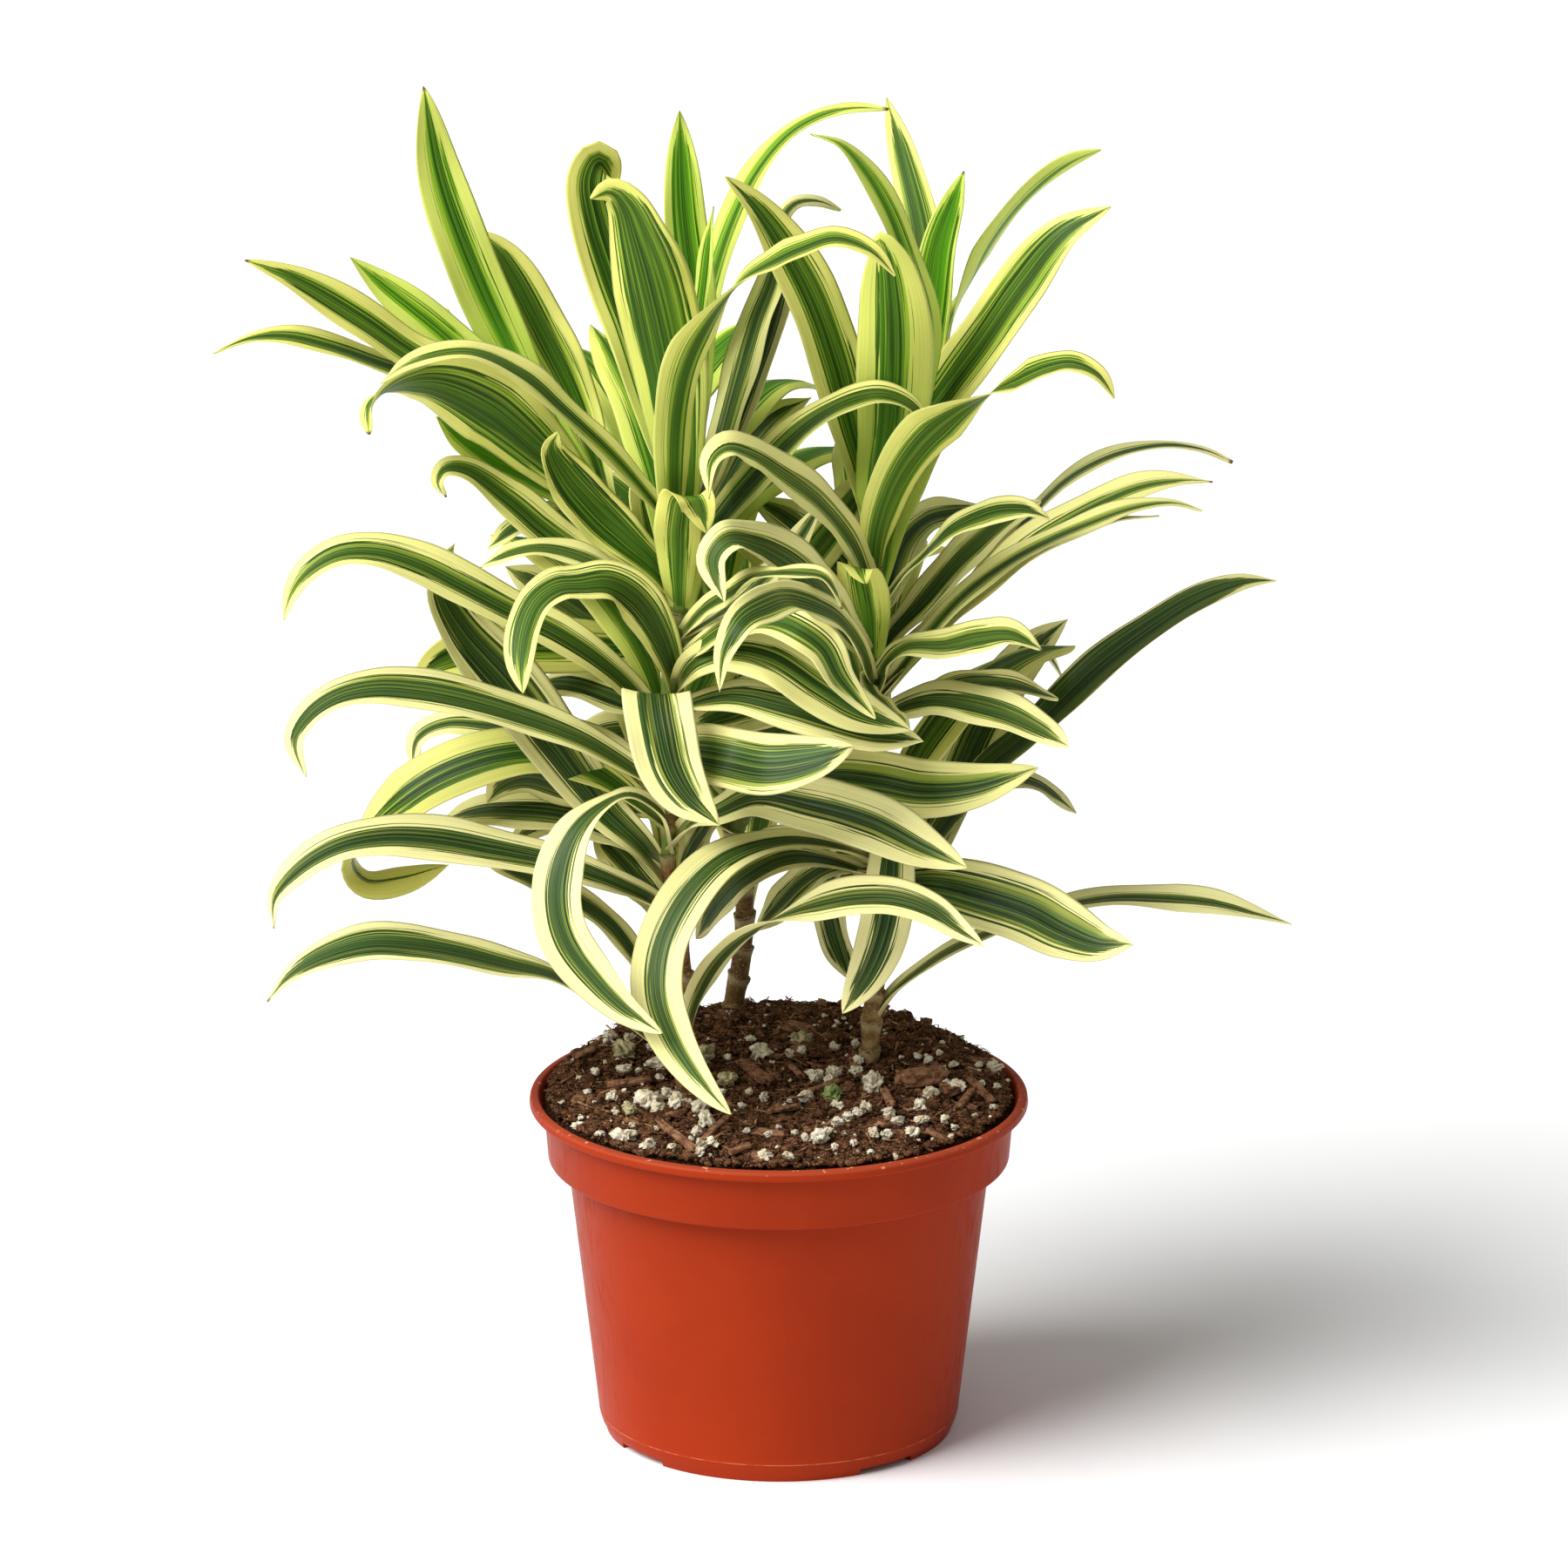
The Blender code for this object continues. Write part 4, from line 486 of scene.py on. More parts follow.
def traced_spine(leaf, stems, push):
    """Centre line of a leaf from its course in the picture, set back by a push."""
    stem, tip_depth, _, _, _, course = leaf[:6]
    foot = np.array(spot(*course[0][:2], 0.0))
    line = stems[stem]
    flat = np.array([spot_at_depth(point) for point in line])
    root_depth = line[np.argmin(np.linalg.norm(flat - foot, axis=1)), 1]
    picture = np.array([point[:2] for point in course], dtype=float)
    lengths = np.linalg.norm(np.diff(picture, axis=0), axis=1)
    along = np.concatenate([[0], np.cumsum(lengths)]) / lengths.sum()
    known = [(0.0, root_depth)]
    known += [(share, point[2]) for share, point in zip(along, course) if len(point) == 3]
    known.append((1.0, tip_depth))
    depths = np.interp(along, *zip(*known))
    depths += push * np.array([smooth_step(share / 0.3) for share in along])
    return [tuple(spot(x, y, depth)) for (x, y), depth in zip(picture, depths)]


def traced_axes(leaf, line):
    """Across and upper-face directions of a traced blade at each point of its line."""
    facing = leaf[4]
    tangents = frames(line)
    shares = np.linspace(0, 1, len(line))
    view = np.array(VIEW_BACK)
    across = np.empty_like(tangents)
    upper = np.empty_like(tangents)
    if folds_over(leaf):
        slope = radians(facing)
        level = cos(slope) * np.array(VIEW_RIGHT) + sin(slope) * np.array(VIEW_UP)
        for index, tangent in enumerate(tangents):
            side = level - tangent * level.dot(tangent)
            across[index] = side / np.linalg.norm(side)
            upper[index] = np.cross(tangent, across[index])
        return across, upper
    side = 1.0 if leaf[5][-1][0] > leaf[5][0][0] else -1.0
    turns = np.radians(np.interp(shares, np.linspace(0, 1, len(facing)), facing))
    for index, (tangent, turn) in enumerate(zip(tangents, turns)):
        toward = view - tangent * view.dot(tangent)
        toward /= np.linalg.norm(toward)
        outward = np.cross(toward, tangent) * side
        upper[index] = cos(turn) * toward + sin(turn) * outward
        across[index] = np.cross(upper[index], tangent)
    return across, upper


def rear_leaves(stems):
    """Leaves on the far side, as root, heading, length, width and age, by a seeded rule."""
    draw = random.Random(REAR_SEED)
    made = []
    for stem, count, low, high in REAR_LEAVES:
        turn = draw.random() * REAR_SPREAD
        for index in range(count):
            share = mix(low, high, (index + 0.5) / count)
            turn = (turn + GOLDEN_ANGLE) % REAR_SPREAD
            root = stems[stem][int(share * STEM_STEPS)]
            length = draw.uniform(104, 142) * mix(1.0, 0.86, share)
            made.append((stem, root[:3], REAR_START + turn, length, draw.uniform(15, 20), 1 - share * 0.9))
    return made


def rear_spine(leaf, push):
    """An arching centre line that starts steep and bows down, turned aside by a push."""
    _, root, heading, length, _, age = leaf
    turn, droop = push
    heading += radians(turn)
    steps = 8
    start = radians(mix(80, 62, age) - droop / 2)
    stop = radians(mix(8, -48, age) - droop)
    point = np.array(root, dtype=float)
    points = [tuple(point)]
    for index in range(steps):
        pitch = mix(start, stop, (index + 0.5) / steps)
        out = np.array((cos(heading) * cos(pitch), sin(heading) * cos(pitch), sin(pitch)))
        point = point + out * length / steps
        points.append(tuple(point))
    return points


def rear_axes(leaf, line):
    heading = leaf[2]
    level = np.array((-sin(heading), cos(heading), 0.0))
    tangents = frames(line)
    across = level - tangents * (tangents @ level)[:, None]
    across /= np.linalg.norm(across, axis=1)[:, None]
    return -across, np.cross(tangents, -across)


def is_traced(leaf):
    return isinstance(leaf[-1], tuple)


def folds_over(leaf):
    return isinstance(leaf[4], float)


def leaf_age(leaf):
    return leaf[3] if is_traced(leaf) else leaf[5]


def blade(leaf, stems, push, count):
    """Centre line, across and upper directions and half widths of a blade."""
    if is_traced(leaf):
        line = smooth_line(traced_spine(leaf, stems, push), count)
        across, upper = traced_axes(leaf, line)
        width = leaf[2]
    else:
        line = smooth_line(rear_spine(leaf, push), count)
        across, upper = rear_axes(leaf, line)
        width = leaf[4]
    halves = np.array([width / 2 * leaf_shape(share) for share in np.linspace(0, 1, count + 1)])
    halves[0] = ROOT_HALF
    return line, across, upper, halves


# %% [markdown]
# ## Room for every leaf
# Real blades never pass through each other, so each leaf is tested against those nearer to the
# viewer and set back, or turned aside, by the smallest amount that clears them, or that clears the
# most of them. A BVH tree tells quickly what lies within a given distance. The frame's solids were
# settled by the same rule, so these blades land where the solids are, all but one. The right stem's
# blade that ends high up, at picture point (1018, 112), stands further back here than its solid
# does, and it crosses the left stem's blade that ends at (1008, 536).

# %% Settling the leaves
CLEARANCE = 1.9
TEST_STEPS = 26
ROOT_SHARE = 0.17
YOUNG_ROOT_SHARE = 0.14
STEM_SHARE = 0.36
STEM_SIDES = 8
PUSH_STEP = 2.5
TURN_STEP = 7.0
DROOP_STEP = 9.0
BASE_RISE = 46
OUTER_RISE = 13


def channel(share):
    """How far the margins are raised: steep where the base clasps the stem, then shallow."""
    return radians(mix(BASE_RISE, OUTER_RISE, smooth_step(share / 0.3)))


def sheet(parts, first=0):
    """Points and faces of a blade without thickness, to test what it meets."""
    line, across, upper, halves = parts
    count = len(line) - 1
    points = []
    for index in range(first, count + 1):
        rise = tan(channel(index / count))
        for place in (-1.0, -0.5, 0.0, 0.5, 1.0):
            offset = across[index] * place + upper[index] * abs(place) * rise
            points.append(Vector(line[index] + offset * halves[index] * cos(channel(index / count))))
    faces = []
    for row in range(count - first):
        for column in range(4):
            corner = row * 5 + column
            faces.append((corner, corner + 1, corner + 6, corner + 5))
    return points, faces


class Placed:
    """A blade or stem in its place, ready to be tested against others."""

    def __init__(self, stem, points, faces):
        self.stem = stem
        self.points = points
        self.tree = BVHTree.FromPolygons(points, faces)
        spread = np.array(points)
        self.low = spread.min(axis=0) - CLEARANCE
        self.high = spread.max(axis=0) + CLEARANCE

    def meets(self, other):
        if (self.low > other.high).any() or (self.high < other.low).any():
            return False
        if self.tree.overlap(other.tree):
            return True
        return any(other.tree.find_nearest(point, CLEARANCE)[0] is not None for point in self.points)


def placed_parts(leaf, stems, push):
    """The whole blade, the part free of its stem's leaf bases, and the part free of the stem."""
    parts = blade(leaf, stems, push, TEST_STEPS)
    whole = Placed(leaf[0], *sheet(parts))
    share = ROOT_SHARE + YOUNG_ROOT_SHARE * (1 - leaf_age(leaf))
    free = Placed(leaf[0], *sheet(parts, round(TEST_STEPS * share)))
    outer = Placed(leaf[0], *sheet(parts, round(TEST_STEPS * STEM_SHARE)))
    return whole, free, outer


def tube(line, sides):
    """Points and faces of a closed tube along a line that holds a radius in its last column."""
    tangents = frames(line)
    points = []
    for point, tangent in zip(line, tangents):
        side = np.cross(tangent, (0.0, 1.0, 0.0))
        side /= np.linalg.norm(side)
        front = np.cross(side, tangent)
        for step in range(sides):
            angle = 2 * pi * step / sides
            offset = side * cos(angle) + front * sin(angle)
            points.append(tuple(point[:3] + offset * point[3]))
    faces = [tuple(range(sides))[::-1]]
    for ring in range(len(line) - 1):
        for step in range(sides):
            after = (step + 1) % sides
            low = ring * sides
            faces.append((low + step, low + after, low + sides + after, low + sides + step))
    faces.append(tuple(range((len(line) - 1) * sides, len(line) * sides)))
    return points, faces


def pushes(leaf):
    """How far a leaf may be set back or turned aside, the smallest change first."""
    if is_traced(leaf):
        away = [PUSH_STEP * step for step in range(1, 19)]
        return [0.0, *away, *(-PUSH_STEP * step for step in range(1, 13))]
    turns = [(turn * TURN_STEP, droop * DROOP_STEP) for turn in range(-5, 6) for droop in range(-4, 5)]
    return sorted(turns, key=lambda turn: hypot(*turn))


def pair_meets(whole, free, other):
    other_whole, other_free = other
    if whole.stem == other_whole.stem:
        return free.meets(other_free)
    return whole.meets(other_whole)


def pole_meets(whole, outer, pole):
    return outer.meets(pole) if pole.stem == whole.stem else whole.meets(pole)


def mean_depth(leaf):
    known = [point[2] for point in leaf[5] if len(point) == 3]
    return (sum(known) + leaf[1]) / (len(known) + 1)


def settle(stems):
    """Bends every leaf clear of the stems and leaves before it, the nearest leaf first.

    Leaves that fold over come before all others. A rear leaf that finds no room is left out."""
    leaves = sorted(LEAVES, key=lambda leaf: (not folds_over(leaf), mean_depth(leaf)))
    leaves += rear_leaves(stems)
    poles = [Placed(name, *tube(line[::3], STEM_SIDES)) for name, line in stems.items()]
    done = []
    chosen = []
    for leaf in leaves:
        best = None
        for push in pushes(leaf):
            whole, free, outer = placed_parts(leaf, stems, push)
            clashes = [other for other in done if pair_meets(whole, free, other)]
            clashes += [pole for pole in poles if pole_meets(whole, outer, pole)]
            if best is None or len(clashes) < best[0]:
                best = (len(clashes), push, whole, free)
            if not clashes:
                break
        if best[0] and not is_traced(leaf):
            continue
        done.append(best[2:])
        chosen.append((leaf, best[1]))
    return chosen


chosen = settle(stems)
print("leaves in place:", len(chosen), "of them at the back:", sum(not is_traced(leaf) for leaf, _ in chosen))

# %% [markdown]
# ## Short words for node trees
# Geometry Nodes and shader nodes are easier to read as formulas. This helper adds one node for
# each operation and hands back its output, so `wire.math("SINE", angle)` is one node and one link.

# %% A helper that wires nodes
class Wiring:
    """Adds nodes to a tree and joins them."""

    def __init__(self, tree):
        self.tree = tree

    def put(self, socket, value):
        if isinstance(value, bpy.types.NodeSocket):
            self.tree.links.new(value, socket)
        elif value is not None:
            socket.default_value = value

    def node(self, kind, inputs=(), **settings):
        made = self.tree.nodes.new(kind)
        for key, value in settings.items():
            setattr(made, key, value)
        for key, value in dict(inputs).items():
            self.put(made.inputs[key], value)
        return made

    def math(self, operation, first, second=None, third=None):
        made = self.node("ShaderNodeMath", operation=operation)
        for socket, value in zip(made.inputs, (first, second, third)):
            self.put(socket, value)
        return made.outputs[0]

    def times(self, first, second):
        return self.math("MULTIPLY", first, second)

    def plus(self, first, second):
        return self.math("ADD", first, second)

    def minus(self, first, second):
        return self.math("SUBTRACT", first, second)

    def vector(self, operation, first, second=None, scale=None):
        made = self.node("ShaderNodeVectorMath", operation=operation)
        self.put(made.inputs[0], first)
        self.put(made.inputs[1], second)
        if scale is not None:
            self.put(made.inputs["Scale"], scale)
        return made.outputs["Value" if operation in ("LENGTH", "DOT_PRODUCT") else "Vector"]

    def xyz(self, x, y, z):
        return self.node("ShaderNodeCombineXYZ", {0: x, 1: y, 2: z}).outputs[0]

    def steps(self, value, low, high):
        """0 below low and 1 above high, with a smooth step between. Low may be the larger one."""
        made = self.node("ShaderNodeMapRange", interpolation_type="SMOOTHSTEP")
        self.put(made.inputs["Value"], value)
        self.put(made.inputs["From Min"], low)
        self.put(made.inputs["From Max"], high)
        return made.outputs["Result"]

    def noise(self, place, scale=1.0, detail=2.0, rough=0.5):
        made = self.node("ShaderNodeTexNoise", {"Vector": place, "Scale": scale, "Detail": detail,
                                                "Roughness": rough})
        return made.outputs["Fac"]

    def mix(self, share, first, second):
        made = self.node("ShaderNodeMix", data_type="RGBA")
        self.put(made.inputs[0], share)
        self.put(made.inputs[6], first)
        self.put(made.inputs[7], second)
        return made.outputs[2]

    def blend(self, share, first, second):
        made = self.node("ShaderNodeMix", data_type="FLOAT")
        self.put(made.inputs[0], share)
        self.put(made.inputs[2], first)
        self.put(made.inputs[3], second)
        return made.outputs[0]

    def named(self, name, kind="FLOAT"):
        made = self.node("GeometryNodeInputNamedAttribute", {"Name": name}, data_type=kind)
        return made.outputs["Attribute"]


def growth_tree(name, sockets):
    """A Geometry Nodes tree with named inputs, and its wiring, input and output nodes."""
    tree = bpy.data.node_groups.new(name, "GeometryNodeTree")
    tree.interface.new_socket("Geometry", in_out="INPUT", socket_type="NodeSocketGeometry")
    for label, kind, value in sockets:
        socket = tree.interface.new_socket(label, in_out="INPUT", socket_type="NodeSocket" + kind)
        if value is not None:
            socket.default_value = value
    tree.interface.new_socket("Geometry", in_out="OUTPUT", socket_type="NodeSocketGeometry")
    return Wiring(tree), tree.nodes.new("NodeGroupInput"), tree.nodes.new("NodeGroupOutput")


def close_tree(wire, geometry, source, out):
    """Ends a tree in plain geometry that wears its material."""
    real = wire.node("GeometryNodeRealizeInstances", {0: geometry}).outputs[0]
    smooth = wire.node("GeometryNodeSetShadeSmooth", {0: real}).outputs[0]
    lip_wear_and_highlight = wire.node("GeometryNodeSetMaterial", {0: smooth, "Material": source.outputs["Material"]})
    wire.put(out.inputs[0], lip_wear_and_highlight.outputs[0])
    return wire.tree


def grow(name, mesh, tree, values):
    """Runs a tree on a mesh and keeps the result as a plain mesh object."""
    seed = bpy.data.objects.new(name + "_source", mesh)
    bpy.context.scene.collection.objects.link(seed)
    modifier = seed.modifiers.new("growth", "NODES")
    modifier.node_group = tree
    for item in tree.interface.items_tree:
        if item.item_type == "SOCKET" and item.in_out == "INPUT" and item.name in values:
            modifier[item.identifier] = values[item.name]
    graph = bpy.context.evaluated_depsgraph_get()
    grown = bpy.data.meshes.new_from_object(seed.evaluated_get(graph), depsgraph=graph)
    bpy.data.objects.remove(seed, do_unlink=True)
    piece = bpy.data.objects.new(name, grown)
    grown.name = name
    bpy.context.scene.collection.objects.link(piece)
    face_outwards(grown)
    print(name, "triangles:", sum(len(face.vertices) - 2 for face in grown.polygons))
    return piece


def face_outwards(mesh):
    bm = bmesh.new()
    bm.from_mesh(mesh)
    bmesh.ops.recalc_face_normals(bm, faces=bm.faces)
    bm.to_mesh(mesh)
    bm.free()


def line_mesh(name, chains, attributes):
    """Chains of points as loose edges, with values on each point for a tree to read."""
    mesh = bpy.data.meshes.new(name)
    points = [tuple(Vector(point) * MM) for chain in chains for point in chain]
    edges = []
    start = 0
    for chain in chains:
        edges += [(start + step, start + step + 1) for step in range(len(chain) - 1)]
        start += len(chain)
    mesh.from_pydata(points, edges, [])
    for label, kind, values in attributes:
        layer = mesh.attributes.new(label, kind, "POINT")
        field = "vector" if kind == "FLOAT_VECTOR" else "value"
        layer.data.foreach_set(field, np.asarray(values, dtype=np.float32).ravel())
    return mesh

# %% [markdown]
# ## Shared shader groups
# Two effects turn up on more than one surface, so each is a node group. Mottle gives slow colour
# changes with fine specks, for plastic, soil, bark and cane. Strap variegation paints a blade:
# a green middle with fine pale lines along the leaf, and cream margins with a crisp, uneven edge.

# %% The mottle group
def shader_group(name, sockets, outputs):
    tree = bpy.data.node_groups.new(name, "ShaderNodeTree")
    for label, kind, value in sockets:
        socket = tree.interface.new_socket(label, in_out="INPUT", socket_type="NodeSocket" + kind)
        if value is not None:
            socket.default_value = value
    for label, kind in outputs:
        tree.interface.new_socket(label, in_out="OUTPUT", socket_type="NodeSocket" + kind)
    return Wiring(tree), tree.nodes.new("NodeGroupInput").outputs, tree.nodes.new("NodeGroupOutput")


def mottle_group():
    """Slow patches and fine specks between three colours, with a height to match."""
    wire, given, out = shader_group(
        "mottle",
        (("Place", "Vector", None), ("Base", "Color", None), ("Patch", "Color", None),
         ("Speck", "Color", None), ("Patch scale", "Float", 60.0), ("Speck scale", "Float", 900.0),
         ("Specks", "Float", 0.3)),
        (("Color", "Color"), ("Height", "Float")))
    slow = wire.noise(given["Place"], given["Patch scale"], 4.0, 0.6)
    fine = wire.noise(given["Place"], given["Speck scale"], 3.0, 0.65)
    patched = wire.mix(wire.steps(slow, 0.38, 0.64), given["Base"], given["Patch"])
    limit = wire.minus(0.78, wire.times(given["Specks"], 0.4))
    specks = wire.steps(fine, limit, wire.plus(limit, 0.05))
    wire.put(out.inputs["Color"], wire.mix(specks, patched, given["Speck"]))
    wire.put(out.inputs["Height"], wire.plus(wire.times(slow, 0.5), fine))
    return wire.tree


MOTTLE = mottle_group()


# %% The variegation group
def variegation_group():
    """Colour, height and roughness of a striped blade from its place across and along."""
    wire, given, out = shader_group(
        "strap variegation",
        (("Across", "Float", 0.0), ("Along", "Float", 0.0), ("Seed", "Float", 0.0),
         ("Age", "Float", 0.5), ("Under", "Float", 0.0), ("Margin start", "Float", 0.60),
         ("Edge wander", "Float", 0.26), ("Line count", "Float", 17.0)),
        (("Color", "Color"), ("Height", "Float"), ("Roughness", "Float")))
    across, along, seed, age = (given[label] for label in ("Across", "Along", "Seed", "Age"))
    out_share = wire.math("ABSOLUTE", across)
    half = wire.times(wire.math("SIGN", across), 11.0)
    number = wire.times(seed, 97.0)

    def lines(count, length, shift, low, high):
        """Fine lines that run along the blade: noise that is stretched lengthwise."""
        place = wire.xyz(wire.times(across, count), wire.times(along, length), wire.plus(number, shift))
        return wire.steps(wire.noise(place, 1.0, 2.0, 0.6), low, high)

    def aged(young, middle_aged, old):
        early = wire.mix(wire.steps(age, 0.0, 0.42), (*young, 1.0), (*middle_aged, 1.0))
        return wire.mix(wire.steps(age, 0.42, 0.90), early, (*old, 1.0))

    wander = wire.noise(wire.xyz(wire.times(along, 2.4), number, half), 1.0, 1.0)
    ripple = wire.noise(wire.xyz(wire.times(along, 13.0), number, half), 1.0, 2.0)
    edge = wire.math("MULTIPLY_ADD", wire.minus(wander, 0.5), given["Edge wander"], given["Margin start"])
    edge = wire.math("MULTIPLY_ADD", wire.minus(ripple, 0.5), 0.05, edge)
    edge = wire.times(edge, wire.blend(wire.steps(along, 0.86, 1.0), 1.0, 0.28))
    teeth = wire.times(wire.minus(lines(13.0, 1.9, 31.0, 0.36, 0.64), 0.5), 0.22)
    ragged = wire.plus(out_share, teeth)
    middle = wire.steps(ragged, wire.plus(edge, 0.012), wire.minus(edge, 0.012))
    bands = lines(4.2, 0.5, 3.0, 0.43, 0.57)
    fine = lines(given["Line count"], 0.9, 7.0, 0.55, 0.60)
    finest = lines(30.0, 1.1, 43.0, 0.50, 0.55)
    dark_lines = lines(21.0, 0.9, 71.0, 0.53, 0.57)
    near_edge = wire.steps(out_share, wire.minus(edge, 0.42), wire.minus(edge, 0.12))
    lime = wire.times(lines(12.0, 1.0, 13.0, 0.52, 0.56), near_edge)
    beyond = wire.steps(out_share, wire.plus(edge, 0.26), wire.plus(edge, 0.05))
    stray = wire.times(lines(19.0, 1.5, 53.0, 0.61, 0.65), beyond)
    creases = lines(26.0, 1.0, 19.0, 0.45, 0.62)

    deep = aged((0.024, 0.105, 0.004), (0.016, 0.048, 0.004), (0.014, 0.036, 0.009))
    darkest = aged((0.012, 0.055, 0.003), (0.010, 0.030, 0.003), (0.008, 0.022, 0.006))
    band = aged((0.074, 0.280, 0.007), (0.044, 0.120, 0.007), (0.034, 0.078, 0.018))
    line = aged((0.210, 0.480, 0.020), (0.170, 0.320, 0.022), (0.150, 0.225, 0.050))
    limed = aged((0.480, 0.740, 0.050), (0.460, 0.620, 0.060), (0.450, 0.480, 0.090))
    cream = aged((0.740, 0.840, 0.160), (0.850, 0.820, 0.205), (0.920, 0.870, 0.400))
    cream_line = aged((0.450, 0.650, 0.060), (0.600, 0.620, 0.100), (0.720, 0.640, 0.200))
    green = wire.mix(bands, deep, band)
    green = wire.mix(wire.times(finest, 0.34), green, line)
    green = wire.mix(wire.times(dark_lines, 0.62), green, darkest)
    green = wire.mix(wire.times(fine, 0.72), green, line)
    green = wire.mix(wire.times(lime, 0.78), green, limed)
    pale = wire.mix(wire.times(creases, 0.28), cream, cream_line)
    pale = wire.mix(wire.times(stray, 0.70), pale, line)
    fresh = wire.times(wire.steps(along, 0.72, 0.10), wire.steps(age, 0.62, 0.15))
    green = wire.mix(wire.times(fresh, 0.62), green, (0.110, 0.380, 0.020, 1.0))
    pale = wire.mix(wire.times(fresh, 0.85), pale, (0.400, 0.640, 0.050, 1.0))
    upper = wire.mix(middle, pale, green)
    dulled = wire.mix(wire.blend(age, 0.15, 0.62), green, aged((0.07, 0.21, 0.012), (0.075, 0.145, 0.016),
                                                                (0.075, 0.105, 0.024)))
    paled = wire.mix(wire.blend(age, 0.10, 0.55), pale, aged((0.50, 0.66, 0.08), (0.56, 0.62, 0.11),
                                                              (0.680, 0.620, 0.220)))
    face = wire.mix(given["Under"], upper, wire.mix(middle, paled, dulled))
    sheath = aged((0.33, 0.52, 0.08), (0.34, 0.42, 0.10), (0.42, 0.37, 0.15))
    based = wire.mix(wire.steps(along, 0.11, 0.01), face, sheath)
    # The thin edge faces of the blade get a pale rim colour: a painted highlight that lightens the shade on
    # the edge.
    rim_highlight = wire.times(wire.steps(out_share, 0.965, 1.0), 0.60)
    rim_highlighted = wire.mix(rim_highlight, based, (0.88, 0.86, 0.50, 1.0))
    dry_tips = wire.steps(wire.noise(wire.xyz(number, 0.0, 0.0), 3.1, 0.0), 0.54, 0.60)
    dry = wire.times(wire.steps(along, 0.985, 0.997), dry_tips)
    wire.put(out.inputs["Color"], wire.mix(dry, rim_highlighted, (0.16, 0.07, 0.025, 1.0)))
    rib = wire.steps(out_share, 0.06, 0.0)
    height = wire.minus(wire.times(creases, 0.4), wire.times(rib, 0.8))
    wire.put(out.inputs["Height"], wire.math("MULTIPLY_ADD", fine, 0.3, height))
    wire.put(out.inputs["Roughness"], wire.blend(given["Under"], wire.blend(creases, 0.34, 0.42), 0.60))
    return wire.tree


VARIEGATION = variegation_group()
print("shader groups:", MOTTLE.name, "and", VARIEGATION.name)

# %% [markdown]
# ## Materials
# Each finish is one Principled BSDF fed by a group, by noise on Object coordinates, or by values
# that the blades carry with them. A small Bump adds relief that is too fine to model.

# %% Start and end of a material
def begin(name, rough, gloss=0.08):
    material = bpy.data.materials.new(name)
    material.use_nodes = True
    wire = Wiring(material.node_tree)
    shader = material.node_tree.nodes["Principled BSDF"]
    shader.inputs["Roughness"].default_value = rough
    shader.inputs["Specular IOR Level"].default_value = gloss
    place = wire.node("ShaderNodeTexCoord").outputs["Object"]
    return material, wire, shader, place


def relief(wire, shader, height, strength, distance):
    bump = wire.node("ShaderNodeBump", {"Height": height, "Strength": strength, "Distance": distance})
    wire.put(shader.inputs["Normal"], bump.outputs[0])


def grouped(wire, group, inputs):
    made = wire.node("ShaderNodeGroup", node_tree=group)
    for key, value in inputs.items():
        wire.put(made.inputs[key], value)
    return made.outputs


def mottled(name, rough, colours, scales, specks, strength, distance):
    """A finish that is all mottle: plastic, peat, perlite and bark differ only in their numbers."""
    material, wire, shader, place = begin(name, rough)
    base, patch, speck = ((*colour, 1.0) for colour in colours)
    made = grouped(wire, MOTTLE, {"Place": place, "Base": base, "Patch": patch, "Speck": speck,
                                  "Patch scale": scales[0], "Speck scale": scales[1], "Specks": specks})
    wire.put(shader.inputs["Base Color"], made["Color"])
    relief(wire, shader, made["Height"], strength, distance)
    return material


# %% The leaf finish
def leaf_material():
    material, wire, shader, _ = begin("striped_leaf", 0.38, 0.14)
    uv = wire.node("ShaderNodeUVMap", uv_map="leaf_uv").outputs[0]
    split = wire.node("ShaderNodeSeparateXYZ", {0: uv}).outputs
    across = wire.math("MULTIPLY_ADD", split[0], 2.0, -1.0)
    look = wire.node("ShaderNodeAttribute", attribute_name="look").outputs["Vector"]
    seed_age = wire.node("ShaderNodeSeparateXYZ", {0: look}).outputs
    margin = wire.node("ShaderNodeAttribute", attribute_name="margin").outputs["Fac"]
    made = grouped(wire, VARIEGATION, {"Across": across, "Along": split[1], "Seed": seed_age[0],
                                       "Age": seed_age[1], "Under": seed_age[2],
                                       "Margin start": margin})
    wire.put(shader.inputs["Base Color"], made["Color"])
    wire.put(shader.inputs["Roughness"], made["Roughness"])
    relief(wire, shader, made["Height"], 0.22, 0.0004)
    return material


# %% The cane finish
# Tints over one ring: where on it they start and are full, how strong, and the colour. They are a
# papery edge, the dark scar and the shaded side below it.
RING_TINTS = (
    (0.55, 0.86, 0.55, (0.50, 0.40, 0.21)),
    (0.90, 0.96, 0.80, (0.055, 0.030, 0.012)),
    (0.16, 0.0, 0.60, (0.085, 0.045, 0.018)),
)


